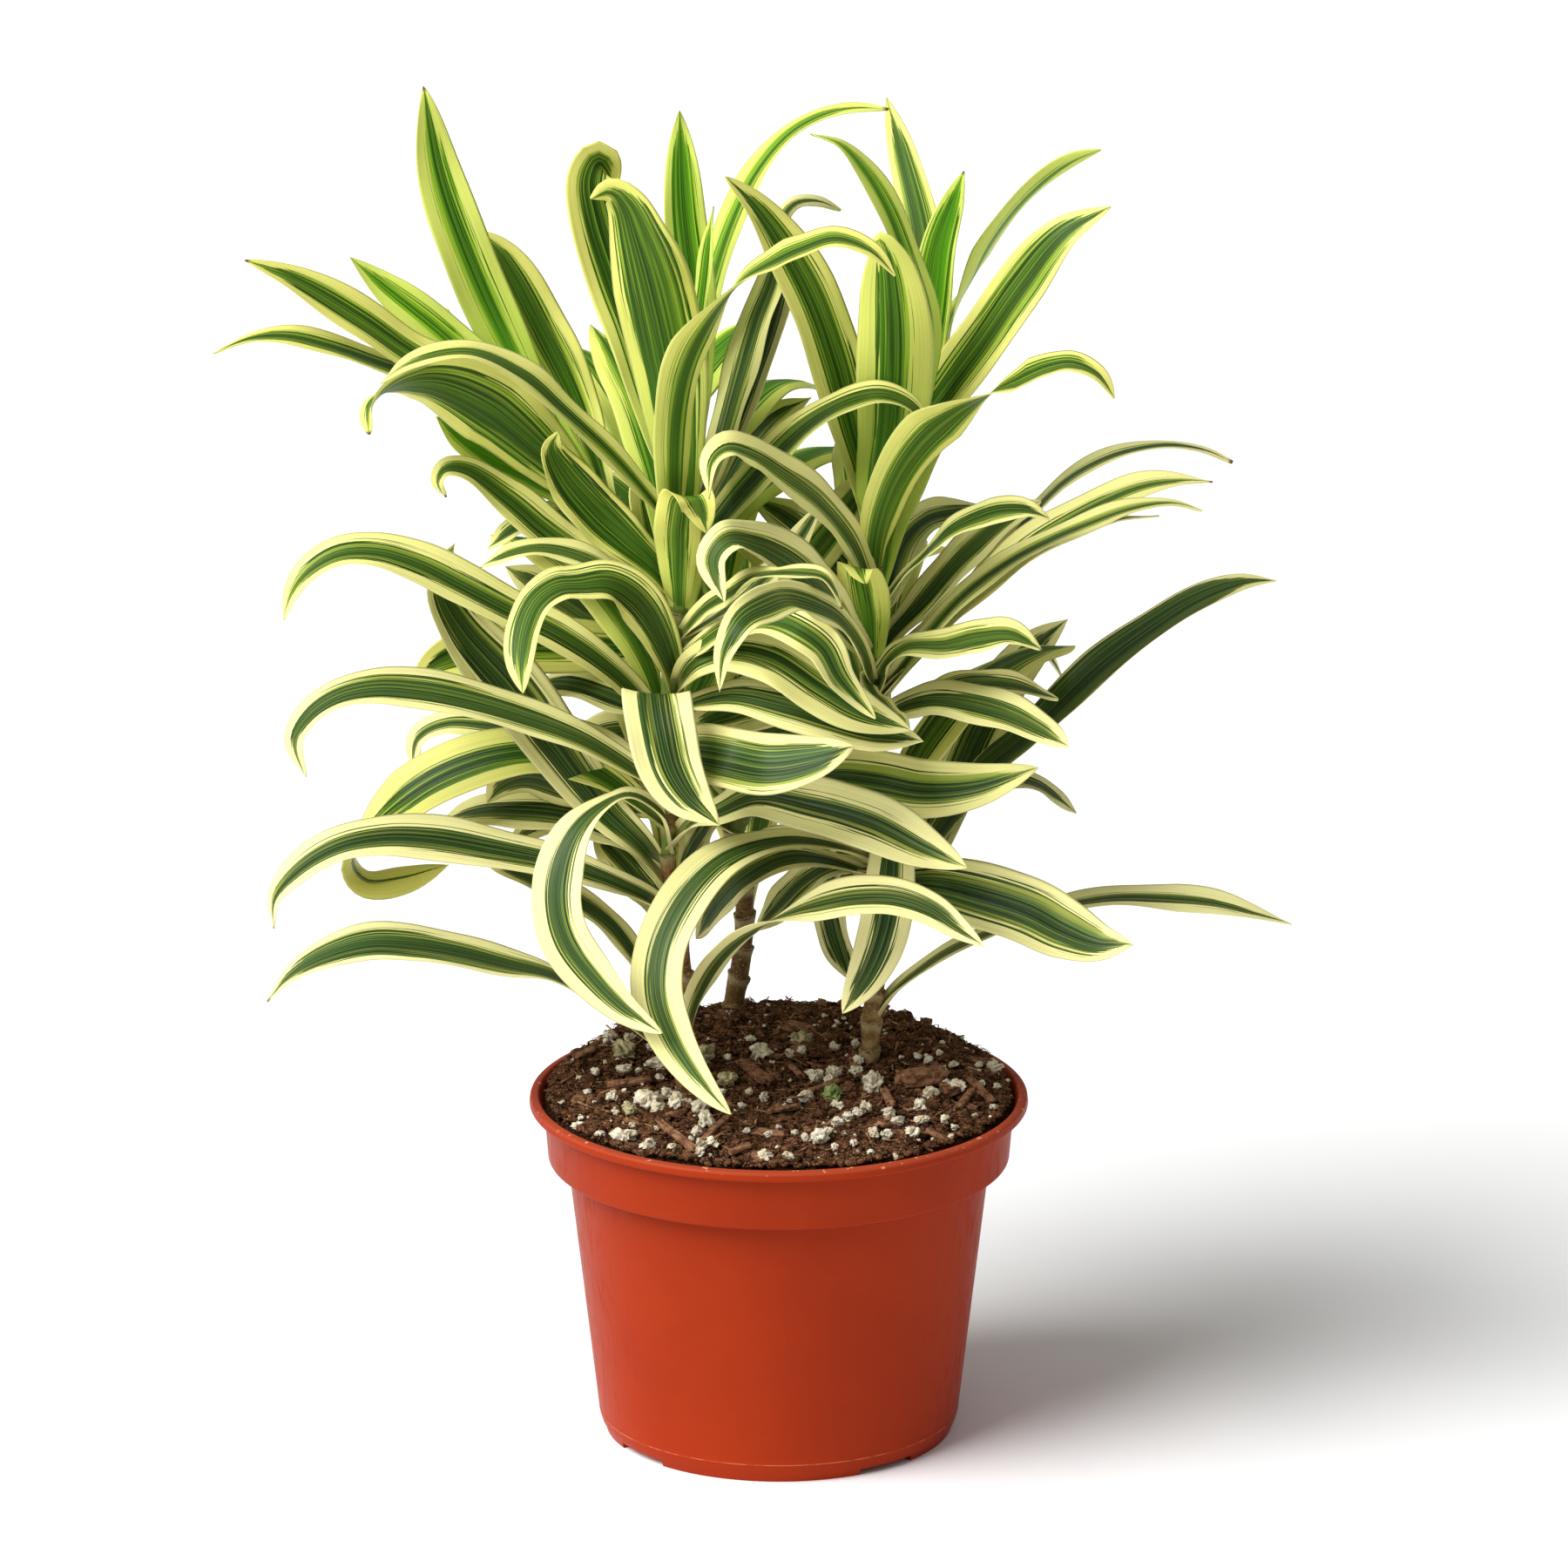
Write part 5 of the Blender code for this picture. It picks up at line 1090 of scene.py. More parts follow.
def cane_material(name, low_colour, high_colour, change):
    """Tan to olive bark that turns green higher up, with a dark line at each ring."""
    material, wire, shader, place = begin(name, 0.62)
    ring = wire.node("ShaderNodeAttribute", attribute_name="ring").outputs["Fac"]
    height = wire.node("ShaderNodeSeparateXYZ", {0: place}).outputs[2]
    dark = tuple(value * share for value, share in zip(low_colour, (0.48, 0.42, 0.36)))
    made = grouped(wire, MOTTLE, {"Place": place, "Base": (*low_colour, 1.0), "Patch": (*dark, 1.0),
                                  "Speck": (0.44, 0.34, 0.18, 1.0), "Patch scale": 300.0,
                                  "Speck scale": 1500.0, "Specks": 0.45})
    grown = wire.plus(height, wire.times(wire.noise(place, 60.0), 0.13))
    turned = wire.mix(wire.steps(grown, change + 0.035, change + 0.06), made["Color"], (*high_colour, 1.0))
    colour = turned
    for low, high, share, tint in RING_TINTS:
        mask = wire.times(wire.steps(ring, low, high), share)
        colour = wire.mix(mask, colour, (*tint, 1.0))
    wire.put(shader.inputs["Base Color"], colour)
    streaks = wire.noise(wire.vector("MULTIPLY", place, (1.0, 1.0, 0.12)), 900.0, 3.0)
    relief(wire, shader, wire.plus(made["Height"], streaks), 0.6, 0.0006)
    return material


# %% The pot finish
PARTING_HEIGHT = 6.0
POT_TOP = 107.5


def pot_material():
    """Terracotta coloured plastic with a pale scuffed line where the mould parted."""
    material, wire, shader, place = begin("terracotta_plastic", 0.42, 0.05)
    made = grouped(wire, MOTTLE, {"Place": place, "Base": (0.352, 0.032, 0.0065, 1.0),
                                  "Patch": (0.326, 0.029, 0.006, 1.0), "Speck": (0.40, 0.060, 0.020, 1.0),
                                  "Patch scale": 22.0, "Speck scale": 1500.0, "Specks": 0.22})
    height = wire.node("ShaderNodeSeparateXYZ", {0: place}).outputs[2]
    off = wire.math("ABSOLUTE", wire.minus(height, PARTING_HEIGHT * MM))
    line = wire.steps(off, 0.00018, 0.00006)
    broken = wire.blend(wire.steps(wire.noise(place, 180.0, 3.0), 0.40, 0.56), 0.15, 0.65)
    seam = wire.times(line, broken)
    # A paler line along the top of the lip: a faint painted highlight all round it, and real wear where the
    # nicks make it brighter.
    lip = wire.steps(height, (POT_TOP - 0.7) * MM, (POT_TOP - 0.1) * MM)
    nicks = wire.steps(wire.noise(place, 420.0, 3.0), 0.64, 0.70)
    lip_wear_and_highlight = wire.times(lip, wire.blend(nicks, 0.07, 0.70))
    lined = wire.mix(seam, made["Color"], (0.80, 0.26, 0.12, 1.0))
    wire.put(shader.inputs["Base Color"], wire.mix(lip_wear_and_highlight, lined, (0.84, 0.36, 0.20, 1.0)))
    scuffs = wire.noise(wire.vector("MULTIPLY", place, (1.0, 1.0, 0.25)), 420.0, 3.0)
    wire.put(shader.inputs["Roughness"], wire.blend(wire.steps(scuffs, 0.45, 0.75), 0.36, 0.52))
    relief(wire, shader, made["Height"], 0.12, 0.0004)
    return material


# %% [markdown]
# ## Thin blades, grown by Geometry Nodes
# A real blade is under a millimetre thick and curls up at its margins, most of all at the base,
# where it clasps the cane. Modelling each by hand would repeat the same loft over a hundred times.
# Here each leaf is a chain of points that carries its directions and widths, and one tree sweeps
# a closed profile along every chain and bends it into the curl. The tree also writes the place
# across and along the blade as a UV map, which the variegation reads.

# %% The tree that grows the blades
BLADE_POINTS = 72
PROFILE_POINTS = 14


def blade_tree():
    wire, source, out = growth_tree(
        "leaf blades",
        (("Profile points", "Int", PROFILE_POINTS), ("Thickness", "Float", 0.0006),
         ("Margin wave", "Float", 0.0006), ("Material", "Material", None)))
    given = source.outputs
    ring = wire.node("GeometryNodeCurvePrimitiveCircle", {"Resolution": given["Profile points"]})
    index = wire.node("GeometryNodeInputIndex").outputs[0]
    turn = wire.times(wire.math("DIVIDE", index, given["Profile points"]), 2 * pi)
    profile = ring.outputs[0]
    for label, value in (("u", wire.math("COSINE", turn)), ("face", wire.math("SINE", turn))):
        profile = wire.node("GeometryNodeStoreNamedAttribute",
                            {"Geometry": profile, "Name": label, "Value": value}).outputs[0]
    rail = wire.node("GeometryNodeMeshToCurve", {0: given["Geometry"]}).outputs[0]
    swept = wire.node("GeometryNodeCurveToMesh",
                      {"Curve": rail, "Profile Curve": profile, "Fill Caps": True}).outputs[0]
    u, face, curl, half, along = (wire.named(label) for label in ("u", "face", "curl", "half", "along"))
    spine, across, upper = (wire.named(label, "FLOAT_VECTOR") for label in ("spine", "across", "upper"))
    seed = wire.node("ShaderNodeSeparateXYZ", {0: wire.named("look", "FLOAT_VECTOR")}).outputs[0]
    angle = wire.times(u, curl)
    radius = wire.math("DIVIDE", half, curl)
    sideways = wire.times(radius, wire.math("SINE", angle))
    rise = wire.times(radius, wire.minus(1.0, wire.math("COSINE", angle)))
    phase = wire.plus(wire.times(along, 21.0), wire.plus(wire.times(seed, 40.0), wire.times(u, 1.2)))
    wave = wire.times(wire.times(wire.math("SINE", phase), given["Margin wave"]), wire.times(u, u))
    wave = wire.times(wave, wire.steps(along, 0.15, 0.4))
    rise = wire.plus(rise, wave)
    thick = wire.times(wire.times(face, given["Thickness"]), 0.5)
    sideways = wire.minus(sideways, wire.times(wire.math("SINE", angle), thick))
    rise = wire.plus(rise, wire.times(wire.math("COSINE", angle), thick))
    place = wire.vector("ADD", spine, wire.vector("SCALE", across, scale=sideways))
    place = wire.vector("ADD", place, wire.vector("SCALE", upper, scale=rise))
    shaped = wire.node("GeometryNodeSetPosition", {"Geometry": swept, "Position": place}).outputs[0]
    uv = wire.xyz(wire.math("MULTIPLY_ADD", u, 0.5, 0.5), along, 0.0)
    mapped = wire.node("GeometryNodeStoreNamedAttribute",
                       {"Geometry": shaped, "Name": "leaf_uv", "Value": uv},
                       data_type="FLOAT2", domain="CORNER").outputs[0]
    under = wire.steps(face, 0.12, -0.12)
    look = wire.node("ShaderNodeSeparateXYZ", {0: wire.named("look", "FLOAT_VECTOR")}).outputs
    dull = wire.times(under, look[2])
    looked = wire.node("GeometryNodeStoreNamedAttribute",
                       {"Geometry": mapped, "Name": "look", "Value": wire.xyz(look[0], look[1], dull)},
                       data_type="FLOAT_VECTOR", domain="POINT").outputs[0]
    return close_tree(wire, looked, source, out)


BLADES = blade_tree()

# %% [markdown]
# ## The blades of each cane
# The base of a blade is a gutter that hugs the cane, so its curl there is nearly two radians to
# each side. It opens within a quarter of the length to a shallow channel.

# %% Chains for the blades of one cane
BASE_CURL = 1.9
OPEN_CURL = 0.34
OPEN_SHARE = 0.22
MARGIN_START = (0.42, 0.62)
DULL_UNDERSIDE = 0.7


def blade_chains(name):
    """Centre points and carried values of all leaves of a cane."""
    chains = []
    carried = {label: [] for label in ("spine", "across", "upper", "half", "curl", "along", "look",
                                       "margin")}
    draw = random.Random(name)
    for leaf, push in chosen:
        if leaf[0] != name:
            continue
        line, across, upper, _ = blade(leaf, stems, push, BLADE_POINTS)
        width = leaf[2] if is_traced(leaf) else leaf[4]
        shares = np.linspace(0, 1, BLADE_POINTS + 1)
        halves = [width / 2 * leaf_shape(share) for share in shares]
        curls = [mix(BASE_CURL, OPEN_CURL, smooth_step(share / OPEN_SHARE)) for share in shares]
        seed, margin = draw.random(), draw.uniform(*MARGIN_START)
        own_looks = leaf[6:] if is_traced(leaf) else ()
        plain_looks = (leaf_age(leaf), DULL_UNDERSIDE, margin, margin)
        age, dullness, low, high = own_looks[0] if own_looks else plain_looks
        look = (seed, age, dullness)
        chains.append([tuple(point) for point in line])
        carried["spine"] += [tuple(point * MM) for point in line]
        carried["across"] += [tuple(side) for side in across]
        carried["upper"] += [tuple(side) for side in upper]
        carried["half"] += [max(half, 0.05) * MM for half in halves]
        carried["curl"] += curls
        carried["along"] += list(shares)
        carried["look"] += [look] * (BLADE_POINTS + 1)
        carried["margin"] += [mix(low, high, share) for share in shares]
    return chains, carried


def grow_blades(name, material):
    chains, carried = blade_chains(name)
    kinds = {"spine": "FLOAT_VECTOR", "across": "FLOAT_VECTOR", "upper": "FLOAT_VECTOR",
             "look": "FLOAT_VECTOR"}
    attributes = [(label, kinds.get(label, "FLOAT"), values) for label, values in carried.items()]
    mesh = line_mesh(name + "_chains", chains, attributes)
    leaves = grow(name.replace("stem", "leaves"), mesh, BLADES, {"Material": material})
    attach(leaves, "root")
    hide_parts(name)
    return leaves


LEAF = leaf_material()
for name in STEMS:
    grow_blades(name, LEAF)

# %% [markdown]
# ## Ringed canes
# Every leaf that fell left a ring on the cane. A saw-tooth on the distance along the cane, warped
# by a little noise so that the rings aren't even, moves the swept tube in and out.

# %% The tree that grows a cane
def cane_tree():
    wire, source, out = growth_tree(
        "ringed cane",
        (("Sides", "Int", 24), ("Ring spacing", "Float", 0.0098), ("Ring depth", "Float", 0.00085),
         ("Unevenness", "Float", 0.85), ("Material", "Material", None)))
    given = source.outputs
    rail = wire.node("GeometryNodeMeshToCurve", {0: given["Geometry"]}).outputs[0]
    ring = wire.node("GeometryNodeCurvePrimitiveCircle", {"Resolution": given["Sides"], "Radius": 1.0})
    thick = wire.named("thick")
    swept = wire.node("GeometryNodeCurveToMesh", {"Curve": rail, "Profile Curve": ring.outputs[0],
                                                  "Fill Caps": True, "Scale": thick}).outputs[0]
    distance = wire.named("distance")
    spot_now = wire.node("GeometryNodeInputPosition").outputs[0]
    warp = wire.minus(wire.noise(spot_now, 90.0, 2.0), 0.5)
    place = wire.math("DIVIDE", distance, given["Ring spacing"])
    place = wire.plus(place, wire.times(warp, given["Unevenness"]))
    tooth = wire.math("FRACT", place)
    swell = wire.minus(wire.math("POWER", tooth, 3.0), 0.3)
    rough = wire.minus(wire.noise(spot_now, 700.0, 3.0), 0.5)
    amount = wire.plus(wire.times(swell, given["Ring depth"]), wire.times(rough, 0.00025))
    normal = wire.node("GeometryNodeInputNormal").outputs[0]
    offset = wire.vector("SCALE", normal, scale=amount)
    shaped = wire.node("GeometryNodeSetPosition", {"Geometry": swept, "Offset": offset}).outputs[0]
    kept = wire.node("GeometryNodeStoreNamedAttribute",
                     {"Geometry": shaped, "Name": "ring", "Value": tooth}).outputs[0]
    return close_tree(wire, kept, source, out)


CANE = cane_tree()

# %% Grow the canes
CANE_STEP = 0.55
TIP_STEPS = 8
TIP_THICKNESS = 0.55
CANE_FINISHES = {
    "left_stem": ((0.31, 0.165, 0.060), (0.16, 0.25, 0.045), 0.222),
    "right_stem": ((0.33, 0.205, 0.080), (0.15, 0.22, 0.045), 0.262),
    "back_stem": ((0.185, 0.105, 0.034), (0.13, 0.18, 0.040), 0.205),
}


def grow_cane(name):
    line = stems[name]
    lengths = np.linalg.norm(np.diff(line[:, :3], axis=0), axis=1)
    along = np.concatenate([[0], np.cumsum(lengths)])
    places = np.arange(0, along[-1], CANE_STEP)
    rows = np.stack([np.interp(places, along, column) for column in line.T], axis=1)
    rows[-TIP_STEPS:, 3] *= np.linspace(1.0, TIP_THICKNESS, TIP_STEPS)
    mesh = line_mesh(name + "_line", [rows[:, :3]],
                     [("thick", "FLOAT", rows[:, 3] * MM), ("distance", "FLOAT", places * MM)])
    cane = grow(name.replace("stem", "cane"), mesh, CANE,
                {"Material": cane_material(name.replace("stem", "cane") + "_bark", *CANE_FINISHES[name])})
    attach(cane, "root")
    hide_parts(name)


for name in STEMS:
    grow_cane(name)

# %% [markdown]
# ## The soil bed
# The soil is a mound that leans on the pot's wall and stands proud at the back. A polar grid
# follows the same formula as the plain solid, with small lumps added by noise.

# %% Soil heights
LIP_RADIUS = 76.5
SOIL_EDGE = 105.0
SOIL_RISE = 6.0
SOIL_BACK_RISE = 9.0
EDGE_RISE = 1.3

# The pot's measures, as in the plain solid.
BAND_TOP_RADIUS = 73.6
BAND_FOOT_RADIUS = 71.0
BODY_TOP_RADIUS = 65.7
BODY_FOOT_RADIUS = 56.0
FOOT_RADIUS = 53.4
BAND_HEIGHT = 19.5
LIP_THICK = 2.0
WALL = 1.5
FOOT_RING = 3.0
FLOOR_UNDERSIDE = 2.2
FLOOR_TOP = 4.0


def wall_radius(height):
    """Outer radius of the pot's body below the rim band."""
    share = (height - PARTING_HEIGHT) / (POT_TOP - BAND_HEIGHT - PARTING_HEIGHT)
    return mix(BODY_FOOT_RADIUS, BODY_TOP_RADIUS, share)


def soil_height(x, y):
    """Height of the soil at a place, in millimetres: a mound that is higher at the back."""
    share = min(hypot(x, y) / (LIP_RADIUS - 4.0), 1.0)
    dome = (1 - share**6) ** 0.7
    back = smooth_step((y + 40) / 90) * (1 - share**9)
    ripple = 0.5 * sin(x * 0.21 + 1.3) * sin(y * 0.17 + 0.4) + 0.35 * sin(x * 0.43 - y * 0.31)
    return SOIL_EDGE + SOIL_RISE * dome + SOIL_BACK_RISE * back + ripple * (1 - share**8)


def lumpy_height(x, y):
    lumps = noise.fractal(Vector((x, y, 3.0)) * 0.14, 0.9, 2.2, 4)
    edge = smooth_step((hypot(x, y) - 66) / 6)
    clods = noise.fractal(Vector((x, y, 9.0)) * 0.27, 0.8, 2.2, 3)
    return soil_height(x, y) + EDGE_RISE * edge + (0.9 * lumps + 1.5 * clods - 1.3) * (1 - 0.75 * edge)


# %% The bed of soil
BED_RINGS = 70
BED_SIDES = 200
BED_RADIUS = 72.9
BED_FLOOR = 86.0


def object_of(name, bm, material):
    bmesh.ops.recalc_face_normals(bm, faces=bm.faces)
    mesh = bpy.data.meshes.new(name)
    bm.to_mesh(mesh)
    bm.free()
    mesh.shade_smooth()
    mesh.materials.append(material)
    piece = bpy.data.objects.new(name, mesh)
    bpy.context.scene.collection.objects.link(piece)
    return piece


def polar_mesh(bm, rows):
    """Joins rings of points, each a list of the same length, and closes both ends on one point."""
    rings = [[bm.verts.new(Vector(point) * MM) for point in row] for row in rows[1:-1]]
    first, last = (bm.verts.new(Vector(rows[end][0]) * MM) for end in (0, -1))
    count = len(rings[0])
    for side in range(count):
        after = (side + 1) % count
        bm.faces.new((first, rings[0][after], rings[0][side]))
        bm.faces.new((last, rings[-1][side], rings[-1][after]))
        for low, high in zip(rings, rings[1:]):
            bm.faces.new((low[side], low[after], high[after], high[side]))


def around(radius, height_at, count):
    """A ring of points whose height may depend on the place."""
    row = []
    for side in range(count):
        angle = 2 * pi * side / count
        x, y = radius * cos(angle), radius * sin(angle)
        row.append((x, y, height_at(x, y)))
    return row


def make_bed(material):
    bm = bmesh.new()
    rows = [[(0, 0, BED_FLOOR)], around(64.0, lambda x, y: BED_FLOOR, BED_SIDES)]
    rows.append(around(BED_RADIUS - 2.9, lambda x, y: SOIL_EDGE - 9.0, BED_SIDES))
    for ring in range(BED_RINGS, 0, -1):
        rows.append(around(BED_RADIUS * (ring / BED_RINGS) ** 0.75, lumpy_height, BED_SIDES))
    rows.append([(0, 0, lumpy_height(0, 0))])
    polar_mesh(bm, rows)
    bed = object_of("soil_bed", bm, material)
    print("soil bed faces:", len(bed.data.polygons))
    return bed


# The bed shows mostly in the gaps between the crumbs, and its near-black colour is painted shade there.
GAP_SHADE_PEAT = mottled("deep_peat", 0.95, ((0.017, 0.006, 0.002), (0.008, 0.003, 0.001), (0.08, 0.035, 0.015)),
                    (300.0, 1300.0), 0.6, 0.9, 0.0012)
PEAT = mottled("damp_peat", 0.92, ((0.165, 0.070, 0.030), (0.024, 0.009, 0.004), (0.46, 0.25, 0.13)),
               (380.0, 1600.0), 0.5, 0.9, 0.0010)
bed = make_bed(GAP_SHADE_PEAT)
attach(bed, "root")
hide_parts("soil")

# %% [markdown]
# ## Crumbs, perlite and bark
# The top of the soil is thousands of small things, and scattering is what Geometry Nodes do best.
# One tree drops lumps on the bed: it spreads points, puts a turned and squashed body on each,
# makes them real, and pushes their surface about with noise so that no two are alike.

# %% The tree that scatters lumps
BALL_STEPS = {"grit": 1, "round": 2, "popcorn": 3}


def top_within(wire, reach):
    """Picks the faces that look up and lie within a distance of the pot's axis."""
    normal = wire.node("GeometryNodeInputNormal").outputs[0]
    up = wire.node("ShaderNodeSeparateXYZ", {0: normal}).outputs[2]
    place = wire.node("GeometryNodeInputPosition").outputs[0]
    flat = wire.vector("MULTIPLY", place, (1.0, 1.0, 0.0))
    near = wire.math("LESS_THAN", wire.vector("LENGTH", flat), reach)
    return wire.times(near, wire.math("GREATER_THAN", up, 0.4))


def lump_tree(name, body):
    wire, source, out = growth_tree(
        name,
        (("Density", "Float", 100000.0), ("Smallest", "Float", 0.001), ("Largest", "Float", 0.003),
         ("Length", "Float", 1.0), ("Flatness", "Float", 0.7), ("Rough", "Float", 0.4),
         ("Rough scale", "Float", 600.0), ("Lift", "Float", 0.0), ("Reach", "Float", 0.070),
         ("Seed", "Int", 1), ("Material", "Material", None)))
    given = source.outputs
    on_top = top_within(wire, given["Reach"])
    spread = wire.node("GeometryNodeDistributePointsOnFaces",
                       {"Mesh": given["Geometry"], "Selection": on_top, "Density": given["Density"],
                        "Seed": given["Seed"]}).outputs[0]
    raised = wire.node("GeometryNodeSetPosition",
                       {"Geometry": spread, "Offset": wire.xyz(0.0, 0.0, given["Lift"])}).outputs[0]
    if body in BALL_STEPS:
        ball = {"Radius": 0.5, "Subdivisions": BALL_STEPS[body]}
        lump = wire.node("GeometryNodeMeshIcoSphere", ball).outputs[0]
    else:
        lump = wire.node("GeometryNodeMeshCube", {"Size": (1.0, 0.55, 0.6), "Vertices X": 5,
                                                  "Vertices Y": 3, "Vertices Z": 3}).outputs[0]

    def drawn(low, high, shift, kind="FLOAT"):
        made = wire.node("FunctionNodeRandomValue", data_type=kind)
        offset = 0 if kind == "FLOAT_VECTOR" else 2
        wire.put(made.inputs[offset], low)
        wire.put(made.inputs[offset + 1], high)
        wire.put(made.inputs["Seed"], wire.plus(given["Seed"], shift))
        return made.outputs[0 if kind == "FLOAT_VECTOR" else 1]

    size = wire.blend(wire.math("POWER", drawn(0.0, 1.0, 3), 2.2), given["Smallest"], given["Largest"])
    scale = wire.xyz(wire.times(size, given["Length"]), size, wire.times(size, given["Flatness"]))
    turn = drawn((-0.35, -0.35, 0.0), (0.35, 0.35, 2 * pi), 7, "FLOAT_VECTOR")
    placed = wire.node("GeometryNodeInstanceOnPoints",
                       {"Points": raised, "Instance": lump, "Rotation": turn, "Scale": scale}).outputs[0]
    real = wire.node("GeometryNodeRealizeInstances", {0: placed}).outputs[0]
    place = wire.node("GeometryNodeInputPosition").outputs[0]
    push = wire.node("ShaderNodeTexNoise", {"Vector": place, "Scale": given["Rough scale"], "Detail": 2.0})
    push = wire.vector("SUBTRACT", push.outputs["Color"], (0.5, 0.5, 0.5))
    push = wire.vector("SCALE", push, scale=wire.times(given["Rough"], given["Largest"]))
    shaped = wire.node("GeometryNodeSetPosition", {"Geometry": real, "Offset": push}).outputs[0]
    return close_tree(wire, shaped, source, out)


ROUND_LUMPS = lump_tree("scattered crumbs", "round")
CHIPS = lump_tree("scattered chips", "chip")
GRIT = lump_tree("scattered grit", "grit")
POPCORN = lump_tree("scattered perlite", "popcorn")


def scatter(name, tree, values, material):
    """Scatters lumps over a copy of the top of the bed."""
    ground = bed.data.copy()
    ground.materials.clear()
    piece = grow(name, ground, tree, {**values, "Material": material})
    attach(piece, "root")
    return piece


# %% Scatter the crumbs
BARK_CHIP = mottled("bark_chip", 0.80, ((0.330, 0.165, 0.085), (0.115, 0.048, 0.022), (0.52, 0.33, 0.19)),
                    (460.0, 1700.0), 0.4, 0.7, 0.0006)
PERLITE_GRAIN = mottled("perlite_grain", 0.85, ((0.92, 0.86, 0.69), (0.60, 0.48, 0.27), (0.98, 0.95, 0.86)),
                        (520.0, 2400.0), 0.5, 0.8, 0.0006)
STRAW = mottled("straw_sliver", 0.75, ((0.50, 0.30, 0.145), (0.24, 0.12, 0.055), (0.66, 0.47, 0.28)),
                (420.0, 1700.0), 0.4, 0.6, 0.0004)
# Each row: name, tree, finish, number per square metre, smallest and largest size, length and
# flatness as shares of the size, roughness and its scale, lift, reach from the axis, and seed.
SCATTERED = (
    ("peat_crumbs", ROUND_LUMPS, PEAT, 105000.0, 0.9, 4.6, 1.3, 0.8, 0.6, 800.0, 0.7, 70.0, 3),
    ("peat_clumps", GRIT, PEAT, 380000.0, 1.0, 3.4, 1.5, 0.8, 0.45, 1000.0, 1.0, 70.8, 47),
    ("peat_grit", GRIT, PEAT, 520000.0, 0.5, 1.9, 1.9, 0.7, 0.35, 1500.0, 1.6, 72.0, 41),
    ("bark_crumbs", CHIPS, BARK_CHIP, 7000.0, 1.5, 5.8, 1.4, 0.45, 0.18, 520.0, 1.7, 67.0, 11),
    ("bark_slivers", CHIPS, BARK_CHIP, 16000.0, 0.6, 1.7, 4.6, 0.6, 0.3, 420.0, 2.1, 67.0, 17),
    ("straw_slivers", CHIPS, STRAW, 9000.0, 0.4, 1.0, 6.5, 0.6, 0.4, 380.0, 2.6, 67.0, 19),
    ("perlite_crumbs", POPCORN, PERLITE_GRAIN, 8000.0, 0.7, 2.2, 1.2, 0.8, 1.1, 900.0, 2.4, 71.0, 23),
)
SCATTER_INPUTS = ("Density", "Smallest", "Largest", "Length", "Flatness", "Rough", "Rough scale",
                  "Lift", "Reach", "Seed")
SCATTER_LENGTHS = ("Smallest", "Largest", "Lift", "Reach")


for name, tree, finish, *values in SCATTERED:
    inputs = dict(zip(SCATTER_INPUTS, values))
    for label in SCATTER_LENGTHS:
        inputs[label] *= MM
    scatter(name, tree, inputs, finish)

# %% [markdown]
# ## The larger lumps of the solid
# The plain solid holds the larger clods and bark, at places that a seeded rule draws. The same rule
# places finer ones here, so both models agree. Noise breaks a plain body into facets.

# %% Larger lumps at the solid's places
CLODS = (34, 2.4, 5.0)
BARK = (15, 6.0, 11.0)
LUMP_SEED = 5
LUMP_REACH = 64
LUMP_LEAN = 14


def lump_places():
    """Kind, place, size, turn and lean of each larger lump."""
    draw = random.Random(LUMP_SEED)
    taken = [(line[0][0], line[0][1], 7.0) for line in stems.values()]
    made = []
    for kind, (count, smallest, largest) in (("bark", BARK), ("clod", CLODS)):
        placed = 0
        while placed < count:
            radius = LUMP_REACH * draw.random() ** 0.5
            angle = 2 * pi * draw.random()
            x, y = radius * cos(angle), radius * sin(angle)
            size = mix(smallest, largest, draw.random() ** 1.6)
            if any(hypot(x - a, y - b) < size * 0.6 + gap for a, b, gap in taken):
                continue
            taken.append((x, y, size * 0.6))
            placed += 1
            turn = draw.random() * 2 * pi
            made.append((kind, x, y, size, turn, radians(draw.uniform(-LUMP_LEAN, LUMP_LEAN))))
    return made


def broken_body(kind, number, breaking):
    """A bark chip with ragged faces, or a clod with a puffed and creased surface.

    noise_vector has no seed here, so the faces, but not the places, differ a little at each run."""
    bm = bmesh.new()
    if kind == "bark":
        bmesh.ops.create_cube(bm, size=1.0)
        bmesh.ops.subdivide_edges(bm, edges=list(bm.edges), cuts=6, use_grid_fill=True)
    else:
        bmesh.ops.create_icosphere(bm, subdivisions=4, radius=1.0)
    shift = Vector((number * 9.0, number * 5.0, 0.0))
    for vert in bm.verts:
        if kind == "bark":
            push = noise.noise_vector(vert.co * 2.3 + shift)
            grain = noise.noise_vector(Vector((vert.co.x * 2.0, vert.co.y * 14.0, vert.co.z * 9.0)) + shift)
            vert.co += push * breaking + grain * breaking * 0.5
        else:
            lean = noise.noise_vector(vert.co * 0.9 + shift)
            puff = 1.0 - 2.6 * abs(noise.noise(vert.co * 1.5 + shift))
            puff -= 1.2 * abs(noise.noise(vert.co * 3.4 + shift))
            vert.co = vert.co * (1.0 + breaking * puff) + lean * breaking
    return bm


def join_lumps(name, bodies, material):
    """One object of many bodies, each a bmesh with the matrix that puts it in its place."""
    joined = bmesh.new()
    for bm, place in bodies:
        bmesh.ops.transform(bm, matrix=Matrix.Scale(MM, 4) @ place, verts=bm.verts)
        lump = bpy.data.meshes.new("lump")
        bm.to_mesh(lump)
        bm.free()
        joined.from_mesh(lump)
        bpy.data.meshes.remove(lump)
    piece = object_of(name, joined, material)
    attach(piece, "root")
    print(piece.name, "faces:", len(piece.data.polygons))


